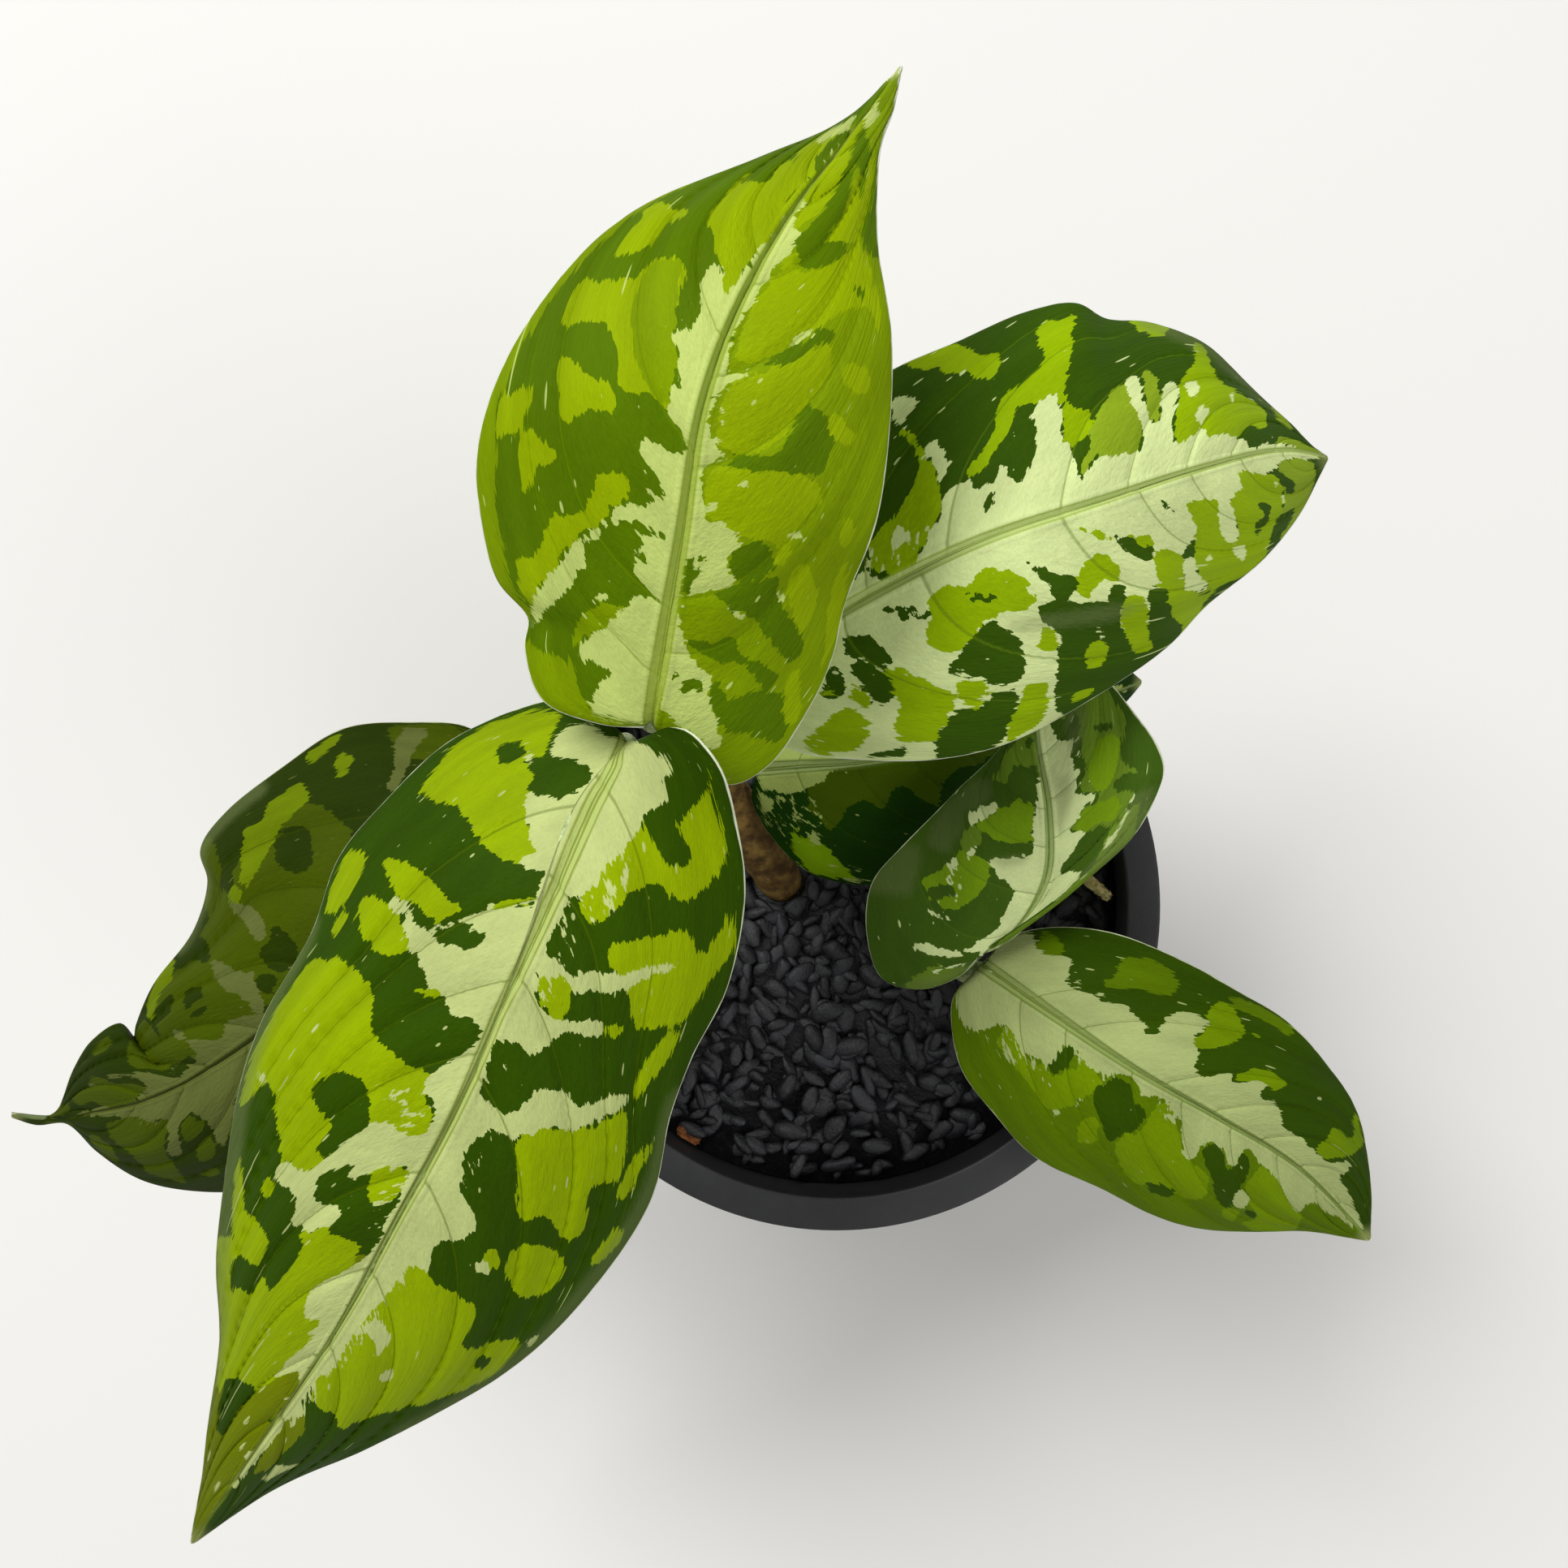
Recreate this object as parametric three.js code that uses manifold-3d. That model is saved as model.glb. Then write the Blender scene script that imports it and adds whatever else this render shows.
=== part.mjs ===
// Potted tricolor aglaonema: seven camouflage-marked leaves on two canes, in a gravel-topped nursery pot.
// Millimetres, +Z up. The origin is the middle of the pot's underside. +Y is the side that the top leaf points to.

import * as THREE from 'three';
import { mergeVertices } from 'three/addons/utils/BufferGeometryUtils.js';
import Module from 'manifold-3d';

const wasm = await Module();
wasm.setup();

// Driving dimensions

const GAP = 0.3; // clearance between pieces that touch

const pot = {
  height: 100,
  rimRadius: 60,
  rimWidth: 6.2,
  rimDepth: 15, // height of the skirt that hangs from the rim
  skirtDraft: 1,
  wall: 2.2,
  footRadius: 43,
  floor: 3,
  sides: 56,
  drainHoles: 6,
  drainRadius: 3.5,
  drainCircle: 27,
};

const soil = { top: 88 };

const gravel = {
  top: 90.2, // the level of the packed bed that the pebbles stand out of
  pebbles: 90,
  length: [4.4, 5.8], // half-lengths, shortest and longest
  slimness: [0.5, 0.66], // width over length
  height: [1.6, 2.3], // half-heights
  tilt: 0.25, // radians, either way
  rise: 1.1, // how far a pebble's middle may stand above the bed
  seed: 7,
};

const blade = {
  rows: 22,
  rowCrowding: 1.42, // above 1, the rows crowd towards the base, where the lobes turn
  across: [0, 0.12, 0.36, 0.62, 0.84, 1], // from the midrib to the margin
  thickness: 1.1, // measured straight up
  marginLead: 0.68, // below 1, the margins run ahead of the midrib, as the side veins do
  crown: 0.09, // how far each half stands above its chord, over its width
  groove: 0.7, // depth of the channel along the midrib
  quilts: 6, // swellings between the side veins, on each half
  quiltHeight: 0.7,
  veinSweep: 0.28, // how far the side veins lean to the tip, over the blade's length
  waves: 4.5, // along each margin
  waveHeight: 0.6,
};

const stalk = {
  sides: 7,
  steps: 7,
  sheath: 0.6, // below 1, the stalk sheds its thick sheath soon after it leaves the cane
  keelReach: 0.7, // share of the midrib that the keel runs under
  keelTip: 0.4, // radius at its end
  keelSteps: 6,
  keelDepth: 0.25, // how far its middle lies under the blade, over its radius
};

// Each leaf is three curves, the midrib and the margins left and right of it as seen from its base,
// with the route of its stalk from the axis of the cane up to the blade.

const leaves = {
  leaf_top: {
    color: 0x8fae1c,
    stalk: [[-24, 27, 149], [-24, 29, 165], [-25.5, 31.5, 185], [-26.5, 31, 197]],
    stalkRadius: [2.5, 1.5],
    midrib: [
      [-26, 30.5, 201], [-24, 40, 207], [-21.5, 51.5, 214], [-19, 65, 219],
      [-15.5, 75, 220], [-9.5, 87.5, 216], [-3, 98.5, 209], [5.5, 114, 197],
    ],
    left: [
      [-27, 29.5, 202], [-32.5, 30, 203], [-39.5, 33, 203], [-41.5, 39.5, 204], [-41, 43, 205],
      [-44.5, 47.5, 207], [-46, 54.5, 209], [-46, 61.5, 211], [-42.5, 71.5, 214], [-36.5, 80.5, 215],
      [-25.5, 91, 213], [-12.5, 97.5, 209], [-1, 105, 204], [5.5, 114, 197],
    ],
    right: [
      [-25.5, 29.5, 199.5], [-21.5, 25, 195], [-16.5, 22.5, 194], [-11.5, 25, 195], [-6.5, 32, 197],
      [-3.5, 38.5, 200], [-2, 45, 203], [1.5, 54, 208], [3, 65.5, 212], [3, 74.5, 214],
      [1.5, 86, 213], [2, 98.5, 208], [4, 106, 203], [5.5, 114, 197],
    ],
  },
  leaf_front: {
    color: 0x6f9a24,
    stalk: [[-23.5, 26, 139], [-28.5, 24, 152], [-31.5, 25, 172], [-31, 27.5, 190]],
    stalkRadius: [2.6, 1.6],
    midrib: [
      [-29.5, 28, 196], [-35.5, 20, 199], [-41, 4.5, 202], [-50.5, -17, 199],
      [-60, -33.5, 193], [-71, -52, 183], [-86, -73.5, 169], [-100.5, -94, 153],
    ],
    left: [
      [-28.5, 27, 197], [-25.5, 28.5, 201], [-23, 29.5, 205], [-21, 29, 206], [-17.5, 25, 205],
      [-15.5, 18, 201], [-14.5, 8.5, 197], [-17, -4, 193], [-21.5, -13, 190], [-24.5, -21, 188],
      [-27.5, -33.5, 184], [-36.5, -47.5, 180], [-49.5, -60.5, 175], [-70, -73.5, 167],
      [-86.5, -83, 160], [-100.5, -94, 153],
    ],
    right: [
      [-30.5, 29, 196], [-33.5, 31.5, 195], [-38.5, 33.5, 192], [-44, 32.5, 191], [-53.5, 28, 191],
      [-61.5, 20.5, 191], [-68, 13, 190], [-72, 3, 189], [-78.5, -8.5, 188], [-83.5, -22, 185],
      [-87.5, -40.5, 179], [-89.5, -56, 173], [-94.5, -75.5, 164], [-100.5, -94, 153],
    ],
  },
  leaf_right: {
    color: 0x5d8a3a,
    stalk: [[-22, 23.5, 128], [-18, 28, 140], [-12.5, 36, 160], [-8.5, 41.5, 174]],
    stalkRadius: [2.5, 1.6],
    midrib: [
      [-7.5, 42.5, 178], [3, 48.5, 184], [16, 54.5, 189], [33, 60.5, 186],
      [48.5, 66.5, 177], [63, 71.5, 164], [73.5, 72.5, 154],
    ],
    left: [
      [-8.5, 43, 178], [-11.5, 46, 177], [-13.5, 53.5, 177], [-12.5, 62.5, 178], [-8, 70.5, 180],
      [-1.5, 75.5, 181], [6, 79.5, 181], [13.5, 83, 180], [23, 87.5, 179], [30.5, 89, 178],
      [35, 87.5, 176], [42, 88, 173], [49, 86, 171], [55.5, 82.5, 167], [64.5, 77, 161],
      [70, 73.5, 157], [73.5, 72.5, 154],
    ],
    right: [
      [-8, 41.5, 177], [-11.5, 40.5, 175], [-14.5, 36, 173], [-13, 30, 172], [-7, 27, 172],
      [1.5, 26, 173], [11.5, 26, 174], [21, 28, 174], [33, 34, 172], [44.5, 41.5, 169],
      [52, 48.5, 165], [61, 55.5, 161], [68, 63, 157], [71.5, 69, 155], [73.5, 72.5, 154],
    ],
  },
  leaf_left: {
    color: 0x4f6a1e,
    stalk: [[-19.5, 20, 117], [-26, 21.5, 125], [-38, 23, 137], [-47, 22, 143]],
    stalkRadius: [2.5, 1.5],
    midrib: [
      [-51.5, 20, 145], [-63, 9, 150], [-78, -5.5, 150], [-94.5, -18.5, 144],
      [-112, -28.5, 135], [-124.5, -32.5, 127], [-135, -35, 120], [-147, -36, 112],
    ],
    left: [
      [-50, 19.5, 145], [-48, 13, 145], [-49, 4, 145], [-53.5, -7.5, 145], [-62.5, -19, 143],
      [-73.5, -30.5, 139], [-85, -39.5, 134], [-95.5, -44.5, 130], [-108, -46.5, 126], [-119, -45, 123],
      [-127.5, -40.5, 122], [-133.5, -36, 120], [-140.5, -37, 116], [-147, -36.5, 112],
    ],
    right: [
      [-52.5, 22, 145], [-55, 27, 144], [-59.5, 31.5, 143], [-70, 32.5, 141], [-80.5, 31.5, 140],
      [-90.5, 25.5, 139], [-100.5, 18, 137], [-105, 12, 135], [-103.5, 7, 136], [-106, -1, 136],
      [-113, -10, 134], [-117, -17, 131], [-119.5, -20, 127], [-121, -17.5, 129], [-125.5, -20, 128],
      [-130.5, -26, 124], [-135.5, -34, 120], [-141, -36, 116], [-147, -35.5, 112],
    ],
  },
  leaf_low: {
    color: 0x3f6414,
    stalk: [[-14.8, 12.5, 104], [-9.5, 17, 108], [-9.5, 21.5, 115], [-12.5, 24.5, 121]],
    stalkRadius: [2.2, 1.3],
    midrib: [
      [-13.5, 25, 124], [-7, 25.5, 129], [2, 26, 133], [15, 28, 135],
      [28.5, 32, 132], [42, 36.5, 126], [53, 40.5, 117],
    ],
    left: [
      [-14.5, 26, 124], [-14, 31.5, 125], [-7, 38.5, 126], [4.5, 44.5, 127],
      [19.5, 48, 127], [35, 47.5, 125], [47, 44.5, 120], [53, 40.5, 117],
    ],
    right: [
      [-14.5, 23.5, 123], [-15, 19.5, 120], [-11, 12.5, 117], [-5, 7, 115], [2.5, 5, 115], [11, 5.5, 116],
      [22, 10.5, 118], [33, 20, 119], [43, 30, 118], [50.5, 37.5, 117], [53, 40.5, 117],
    ],
  },
  leaf_folded: {
    color: 0x55803a,
    stalk: [[15, -3.5, 111], [17, -2, 120], [20, -2, 129], [22.5, -4, 134]],
    stalkRadius: [2, 1.3],
    midrib: [
      [23, -4.5, 136], [28.5, 0, 140], [32, 7.5, 144], [31.5, 18, 149],
      [29, 30.5, 153], [29.5, 39.5, 154], [32, 48.5, 152],
    ],
    left: [
      [22, -6, 135.5], [19.5, -9, 133], [13, -12, 127], [7, -10.5, 123], [4.5, -3, 123], [5, 5.5, 127],
      [9.5, 12, 134], [17.5, 21, 142], [24, 28, 147], [28, 35.5, 150], [31, 43.5, 152], [32, 48.5, 152],
    ],
    right: [
      [24, -4, 137], [27.5, -1.5, 140], [33, 3.5, 145], [38, 8.5, 150], [44, 15.5, 155],
      [47.5, 24, 158], [47, 27, 158], [43, 33.5, 158], [37.5, 40.5, 156], [32, 48.5, 152],
    ],
  },
  leaf_lower_right: {
    color: 0x5f8a2a,
    stalk: [[13.2, -1.8, 100], [18.5, -8, 110], [22.5, -10.5, 121], [23, -8.5, 128]],
    stalkRadius: [2, 1.4],
    midrib: [
      [23.5, -7.5, 130], [34.5, -15, 138], [46.5, -23, 142], [59.5, -30.5, 140],
      [74.5, -40, 134], [90, -55, 125],
    ],
    left: [
      [24.5, -6.5, 131], [27, -3, 132], [33.5, -1, 134], [43.5, -1.5, 137], [55, -6, 138], [65, -11.5, 137],
      [72.5, -16, 135], [79.5, -23, 133], [85, -30, 130], [89, -41, 127], [90, -55, 125],
    ],
    right: [
      [22.5, -9, 129], [19, -13, 128], [18.5, -17, 128], [20, -25, 129], [25.5, -32.5, 130], [32, -39.5, 130],
      [42.5, -44.5, 130], [52, -49.5, 129], [63, -52.5, 128], [77.5, -53, 126], [90, -55, 125],
    ],
  },
};

// The canes lean out of the soil and straighten up. Their rings are the scars of fallen leaves.

const canes = {
  main_cane: {
    color: 0x6b4a2a,
    route: [[-8, 0, 70], [-11, 5.5, 92], [-14.5, 12, 103], [-18.5, 19, 114], [-22, 23.5, 127], [-24, 27, 150]],
    radius: [4.9, 3.6],
    rings: 6,
  },
  side_cane: {
    color: 0x5c6b35,
    route: [[11, -0.5, 76], [12, -1, 92], [13.5, -2, 103], [15, -3.5, 112]],
    radius: [3.3, 2.7],
    rings: 3,
  },
};
const cane = { sides: 10, steps: 14, ringHeight: 0.35, ringSharpness: 8 };

const stub = {
  color: 0xd9cf8f,
  route: [[38, 12.5, 80], [43, 8.5, 90.5], [51, 1.5, 97]],
  radius: [1.4, 1],
  rings: 0,
};

const chip = {
  color: 0x8a4b1e,
  place: [-27.3, -44, 91.3],
  size: [5.2, 2.6, 1.3],
  turn: -0.5,
};

const END_FADE = 0.06; // the relief is this far from nothing at the base, and nothing at the tip
const GROOVE_REACH = 0.24; // share of each half that the midrib's channel takes
const WAVE_POWER = 3; // how closely the waves keep to the margin
const TIP_TRIM = 0.004; // the blade's last row stops this short of the tip, over its length

// Meshes and solids

function weld(geometry) {
  const bare = geometry.clone();
  for (const name of Object.keys(bare.attributes)) {
    if (name !== 'position') bare.deleteAttribute(name);
  }
  const merged = mergeVertices(bare, 1e-4);
  const kept = [];
  for (let i = 0; i < merged.index.count; i += 3) {
    const [a, b, c] = [0, 1, 2].map((k) => merged.index.getX(i + k));
    if (a !== b && b !== c && c !== a) kept.push(a, b, c);
  }
  merged.setIndex(kept);
  return merged;
}

function toSolid(geometry) {
  const welded = weld(geometry);
  const mesh = new wasm.Mesh({
    numProp: 3,
    vertProperties: Float32Array.from(welded.attributes.position.array),
    triVerts: Uint32Array.from(welded.index.array),
  });
  return new wasm.Manifold(mesh);
}

function toGeometry(solid) {
  const mesh = solid.getMesh();
  const geometry = new THREE.BufferGeometry();
  geometry.setAttribute('position', new THREE.Float32BufferAttribute(mesh.vertProperties, 3));
  geometry.setIndex(Array.from(mesh.triVerts));
  return geometry;
}

function namedMesh(name, geometry, color, roughness = 0.6) {
  const shaped = geometry.index ? geometry.toNonIndexed() : geometry;
  shaped.computeVertexNormals();
  const mesh = new THREE.Mesh(shaped, new THREE.MeshStandardMaterial({ color, roughness, metalness: 0 }));
  mesh.name = name;
  return mesh;
}

function curveThrough(points) {
  const vectors = points.map((p) => new THREE.Vector3(...p));
  return new THREE.CatmullRomCurve3(vectors, false, 'centripetal');
}

function seededRandom(seed) {
  let state = seed;
  return () => {
    state = (state + 0x6d2b79f5) | 0;
    let mixed = Math.imul(state ^ (state >>> 15), 1 | state);
    mixed = (mixed + Math.imul(mixed ^ (mixed >>> 7), 61 | mixed)) ^ mixed;
    return ((mixed ^ (mixed >>> 14)) >>> 0) / 4294967296;
  };
}

// A closed round tube along a curve, whose radius follows radiusAt(0..1).
function taperedTube(curve, radiusAt, steps, sides) {
  const { normals, binormals } = curve.computeFrenetFrames(steps, false);
  const positions = [];
  for (let i = 0; i <= steps; i += 1) {
    const centre = curve.getPointAt(i / steps);
    for (let j = 0; j < sides; j += 1) {
      const angle = (2 * Math.PI * j) / sides;
      const spoke = normals[i].clone().multiplyScalar(Math.cos(angle));
      spoke.addScaledVector(binormals[i], Math.sin(angle));
      positions.push(...centre.clone().addScaledVector(spoke, radiusAt(i / steps)).toArray());
    }
  }
  const index = [];
  for (let i = 0; i < steps; i += 1) {
    for (let j = 0; j < sides; j += 1) {
      const next = (j + 1) % sides;
      const [a, b] = [i * sides + j, i * sides + next];
      const [c, d] = [a + sides, b + sides];
      index.push(a, b, d, a, d, c);
    }
  }
  for (let j = 1; j < sides - 1; j += 1) {
    const end = steps * sides;
    index.push(0, j + 1, j, end, end + j, end + j + 1);
  }
  const geometry = new THREE.BufferGeometry();
  geometry.setAttribute('position', new THREE.Float32BufferAttribute(positions, 3));
  geometry.setIndex(index);
  return geometry;
}

// Pot, soil and gravel

function outerWallRadius(z) {
  const skirtBottom = pot.height - pot.rimDepth;
  const top = pot.rimRadius - pot.rimWidth + pot.wall;
  return THREE.MathUtils.lerp(pot.footRadius, top, Math.min(z / skirtBottom, 1));
}

function innerWallRadius(z) {
  return outerWallRadius(z) - pot.wall;
}

function makePot() {
  const skirtBottom = pot.height - pot.rimDepth;
  const edge = 0.8; // rounding of the rim's and the foot's corners
  const profile = [
    [0, 0],
    [pot.footRadius - edge, 0],
    [pot.footRadius, edge],
    [outerWallRadius(skirtBottom), skirtBottom],
    [pot.rimRadius - pot.skirtDraft, skirtBottom],
    [pot.rimRadius, pot.height - edge],
    [pot.rimRadius - edge, pot.height],
    [innerWallRadius(pot.height) + edge / 2, pot.height],
    [innerWallRadius(pot.height), pot.height - edge / 2],
    [innerWallRadius(skirtBottom), skirtBottom],
    [innerWallRadius(pot.floor), pot.floor],
    [0, pot.floor],
  ];
  const outline = profile.map(([r, z]) => new THREE.Vector2(r, z));
  const turned = new THREE.LatheGeometry(outline, pot.sides).rotateX(Math.PI / 2);
  let solid = toSolid(turned);
  for (let i = 0; i < pot.drainHoles; i += 1) {
    const angle = (2 * Math.PI * i) / pot.drainHoles;
    const drill = new THREE.CylinderGeometry(pot.drainRadius, pot.drainRadius, 4 * pot.floor, 12);
    drill.rotateX(Math.PI / 2);
    drill.translate(pot.drainCircle * Math.cos(angle), pot.drainCircle * Math.sin(angle), 0);
    solid = solid.subtract(toSolid(drill));
  }
  return toGeometry(solid);
}

// What fills the pot from one level to another, just clear of its wall.
function filling(bottom, top) {
  const outline = [
    [0, bottom],
    [innerWallRadius(bottom) - GAP, bottom],
    [innerWallRadius(top) - GAP, top],
    [0, top],
  ].map(([r, z]) => new THREE.Vector2(r, z));
  return toSolid(new THREE.LatheGeometry(outline, pot.sides).rotateX(Math.PI / 2));
}

function withoutStems(solid) {
  return [...Object.values(canes), stub].reduce((cut, stem) => cut.subtract(clearanceOf(stem)), solid);
}

function makeSoil() {
  return toGeometry(withoutStems(filling(pot.floor + GAP, soil.top)));
}

function makeGravel() {
  const random = seededRandom(gravel.seed);
  const between = ([low, high]) => low + (high - low) * random();
  const goldenAngle = Math.PI * (3 - Math.sqrt(5));
  const reach = innerWallRadius(gravel.top) - GAP - gravel.length[1];
  let bed = filling(soil.top + GAP, gravel.top);
  for (let i = 0; i < gravel.pebbles; i += 1) {
    const distance = reach * Math.sqrt((i + 0.5) / gravel.pebbles);
    const angle = i * goldenAngle;
    const length = between(gravel.length);
    const pebble = new THREE.IcosahedronGeometry(1, 0);
    pebble.scale(length, length * between(gravel.slimness), between(gravel.height));
    pebble.rotateY(between([-gravel.tilt, gravel.tilt]));
    pebble.rotateZ(random() * Math.PI);
    const level = between([gravel.top, gravel.top + gravel.rise]);
    pebble.translate(distance * Math.cos(angle), distance * Math.sin(angle), level);
    bed = bed.add(toSolid(pebble));
  }
  return toGeometry(withoutStems(bed));
}

// Canes, old stub and chip

function stemSolid({ route, radius, rings }) {
  const radiusAt = (t) => {
    const ring = rings ? cane.ringHeight * Math.cos(Math.PI * rings * t) ** cane.ringSharpness : 0;
    return THREE.MathUtils.lerp(radius[0], radius[1], t) + ring;
  };
  return toSolid(taperedTube(curveThrough(route), radiusAt, cane.steps, cane.sides));
}

// The room that a stem takes with the gap around it, also past its two ends.
function clearanceOf({ route, radius, rings }) {
  const points = route.map((p) => new THREE.Vector3(...p));
  const lengthen = (end, before) => end.add(end.clone().sub(before).setLength(GAP));
  lengthen(points[0], points[1]);
  lengthen(points.at(-1), points.at(-2));
  const clear = GAP + (rings ? cane.ringHeight : 0);
  return stemSolid({ route: points.map((p) => p.toArray()), radius: radius.map((r) => r + clear), rings: 0 });
}

function makeChip() {
  const shape = new THREE.IcosahedronGeometry(0.5, 1);
  shape.scale(...chip.size);
  shape.rotateZ(chip.turn);
  return shape.translate(...chip.place);
}

// Leaves

function bladePoint(curves, t, v) {
  const s = Math.abs(v);
  const middle = curves.midrib.getPointAt(t);
  const margin = (v < 0 ? curves.right : curves.left).getPointAt(t ** blade.marginLead);
  const width = middle.distanceTo(margin);
  const point = middle.lerp(margin, s);
  const belly = 4 * s * (1 - s);
  const ends = Math.sqrt(Math.sin(Math.PI * THREE.MathUtils.lerp(END_FADE, 1, t)));
  const vein = t - blade.veinSweep * s * s;
  point.z += blade.crown * width * belly * ends;
  point.z -= blade.groove * ends * Math.max(0, 1 - s / GROOVE_REACH);
  point.z += blade.quiltHeight * ends * belly * Math.cos(2 * Math.PI * blade.quilts * vein);
  point.z += blade.waveHeight * ends * s ** WAVE_POWER * Math.sin(2 * Math.PI * blade.waves * t + v);
  return point;
}

function bladeSolid(curves) {
  const across = [...blade.across.slice(1).reverse().map((s) => -s), ...blade.across];
  const columns = across.length;
  const positions = [];
  for (const side of [0.5, -0.5]) {
    for (let i = 0; i <= blade.rows; i += 1) {
      const t = (i / blade.rows) ** blade.rowCrowding * (1 - TIP_TRIM);
      for (const v of across) {
        const point = bladePoint(curves, t, v);
        positions.push(point.x, point.y, point.z + side * blade.thickness);
      }
    }
  }
  const under = (blade.rows + 1) * columns;
  const at = (i, j) => i * columns + j;
  const index = [];
  for (let i = 0; i < blade.rows; i += 1) {
    for (let j = 0; j < columns - 1; j += 1) {
      const [a, b, c, d] = [at(i, j), at(i + 1, j), at(i + 1, j + 1), at(i, j + 1)];
      index.push(a, b, c, a, c, d);
      index.push(under + a, under + c, under + b, under + a, under + d, under + c);
    }
  }
  const rim = (a, b) => index.push(a, under + b, b, a, under + a, under + b);
  for (let i = 0; i < blade.rows; i += 1) {
    rim(at(i, 0), at(i + 1, 0));
    rim(at(i + 1, columns - 1), at(i, columns - 1));
  }
  for (let j = 0; j < columns - 1; j += 1) {
    rim(at(0, j + 1), at(0, j));
    rim(at(blade.rows, j), at(blade.rows, j + 1));
  }
  const geometry = new THREE.BufferGeometry();
  geometry.setAttribute('position', new THREE.Float32BufferAttribute(positions, 3));
  geometry.setIndex(index);
  return toSolid(geometry);
}

// The stalk runs on under the blade as its keel, and thins out towards the tip.
function stalkSolid(leaf, curves) {
  const [thick, thin] = leaf.stalkRadius;
  const keel = [];
  for (let i = 1; i <= stalk.keelSteps; i += 1) {
    const share = i / stalk.keelSteps;
    const point = bladePoint(curves, share * stalk.keelReach, 0);
    point.z -= blade.thickness / 2 + THREE.MathUtils.lerp(thin, stalk.keelTip, share) * stalk.keelDepth;
    keel.push(point.toArray());
  }
  const route = curveThrough([...leaf.stalk, ...keel]);
  const joint = curveThrough(leaf.stalk).getLength() / route.getLength();
  const radiusAt = (t) => {
    if (t < joint) return THREE.MathUtils.lerp(thick, thin, (t / joint) ** stalk.sheath);
    return THREE.MathUtils.lerp(thin, stalk.keelTip, (t - joint) / (1 - joint));
  };
  return toSolid(taperedTube(route, radiusAt, stalk.steps + stalk.keelSteps, stalk.sides));
}

function makeLeaf(leaf) {
  const curves = {
    midrib: curveThrough(leaf.midrib),
    left: curveThrough(leaf.left),
    right: curveThrough(leaf.right),
  };
  let solid = bladeSolid(curves).add(stalkSolid(leaf, curves));
  for (const stem of Object.values(canes)) solid = solid.subtract(clearanceOf(stem));
  return toGeometry(solid);
}

// The plant in its pot

const plant = new THREE.Group();
plant.add(namedMesh('pot', makePot(), 0x3a393c, 0.75));
plant.add(namedMesh('soil', makeSoil(), 0x2b211a, 0.95));
plant.add(namedMesh('gravel', makeGravel(), 0x2a2a2d, 0.7));
for (const [name, stem] of Object.entries({ ...canes, old_stub: stub })) {
  plant.add(namedMesh(name, toGeometry(stemSolid(stem)), stem.color, 0.8));
}
plant.add(namedMesh('bark_chip', makeChip(), chip.color, 0.9));
for (const [name, leaf] of Object.entries(leaves)) {
  plant.add(namedMesh(name, makeLeaf(leaf), leaf.color, 0.45));
}

export default plant;
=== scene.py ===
# Looks of the potted tricolor aglaonema: marked leaves, canes, gravel and pot on the CAD frame.
# Shapes are worked out in millimetres and stored in metres. Z is up, and the pot's axis is the Z axis.

import math

import bmesh
import bpy
import numpy as np
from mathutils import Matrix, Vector


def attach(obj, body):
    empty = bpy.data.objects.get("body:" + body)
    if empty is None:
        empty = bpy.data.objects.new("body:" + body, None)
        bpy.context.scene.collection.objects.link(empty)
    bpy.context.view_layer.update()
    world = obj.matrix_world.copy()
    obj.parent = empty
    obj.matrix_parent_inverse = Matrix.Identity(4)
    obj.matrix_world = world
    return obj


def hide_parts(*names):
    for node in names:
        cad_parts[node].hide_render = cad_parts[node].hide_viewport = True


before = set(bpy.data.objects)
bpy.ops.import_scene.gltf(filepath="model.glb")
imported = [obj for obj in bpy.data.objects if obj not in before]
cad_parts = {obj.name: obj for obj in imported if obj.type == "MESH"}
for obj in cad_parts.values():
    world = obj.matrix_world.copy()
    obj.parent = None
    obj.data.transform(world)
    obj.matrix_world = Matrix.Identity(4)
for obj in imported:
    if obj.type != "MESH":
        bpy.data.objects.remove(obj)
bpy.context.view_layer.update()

MM = 0.001
SEED = 11

# The camera stands straight above, where the photograph was taken from.
CAMERA_PLACE = (-9.6, 22.6, 410.5)
IMAGE_SIZE = 1932  # pixels
FOCAL_PIXELS = 2072
SENSOR = 36.0

# Studio. A light has its place and diameter in metres, and its power in watts.
FLOOR_REACH = 3000
FLOOR_DROP = 0.2
FLOOR_COLOR = (224, 223, 219)
LIGHTS = {"key": ((-0.7, 0.8, 1.5), 0.9, 29), "fill": ((1.1, -0.6, 1.2), 1.2, 8)}
ROOM_LIGHT = 0.4

# Pot
POT_HEIGHT = 100
RIM_RADIUS = 60
RIM_WIDTH = 6.2
RIM_DEPTH = 15
RIM_LIP = 1.6
SKIRT_DRAFT = 1
WALL = 2.2
FOOT_RADIUS = 43
FOOT_RING = 5
FOOT_UNDERCUT = 0.6
FOOT_RECESS = 0.8
POT_FLOOR = 3
CORNER_RADIUS = 0.6
CORNER_STEPS = 4
SHARP_ANGLE = 40  # degrees
DRAIN_HOLES = 6
DRAIN_RADIUS = 3.5
DRAIN_CIRCLE = 27
DRILL_LENGTH = 12
DRILL_SIDES = 32
POT_SIDES = 160
POT_COLORS = ((40, 40, 42), (52, 52, 54))

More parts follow.
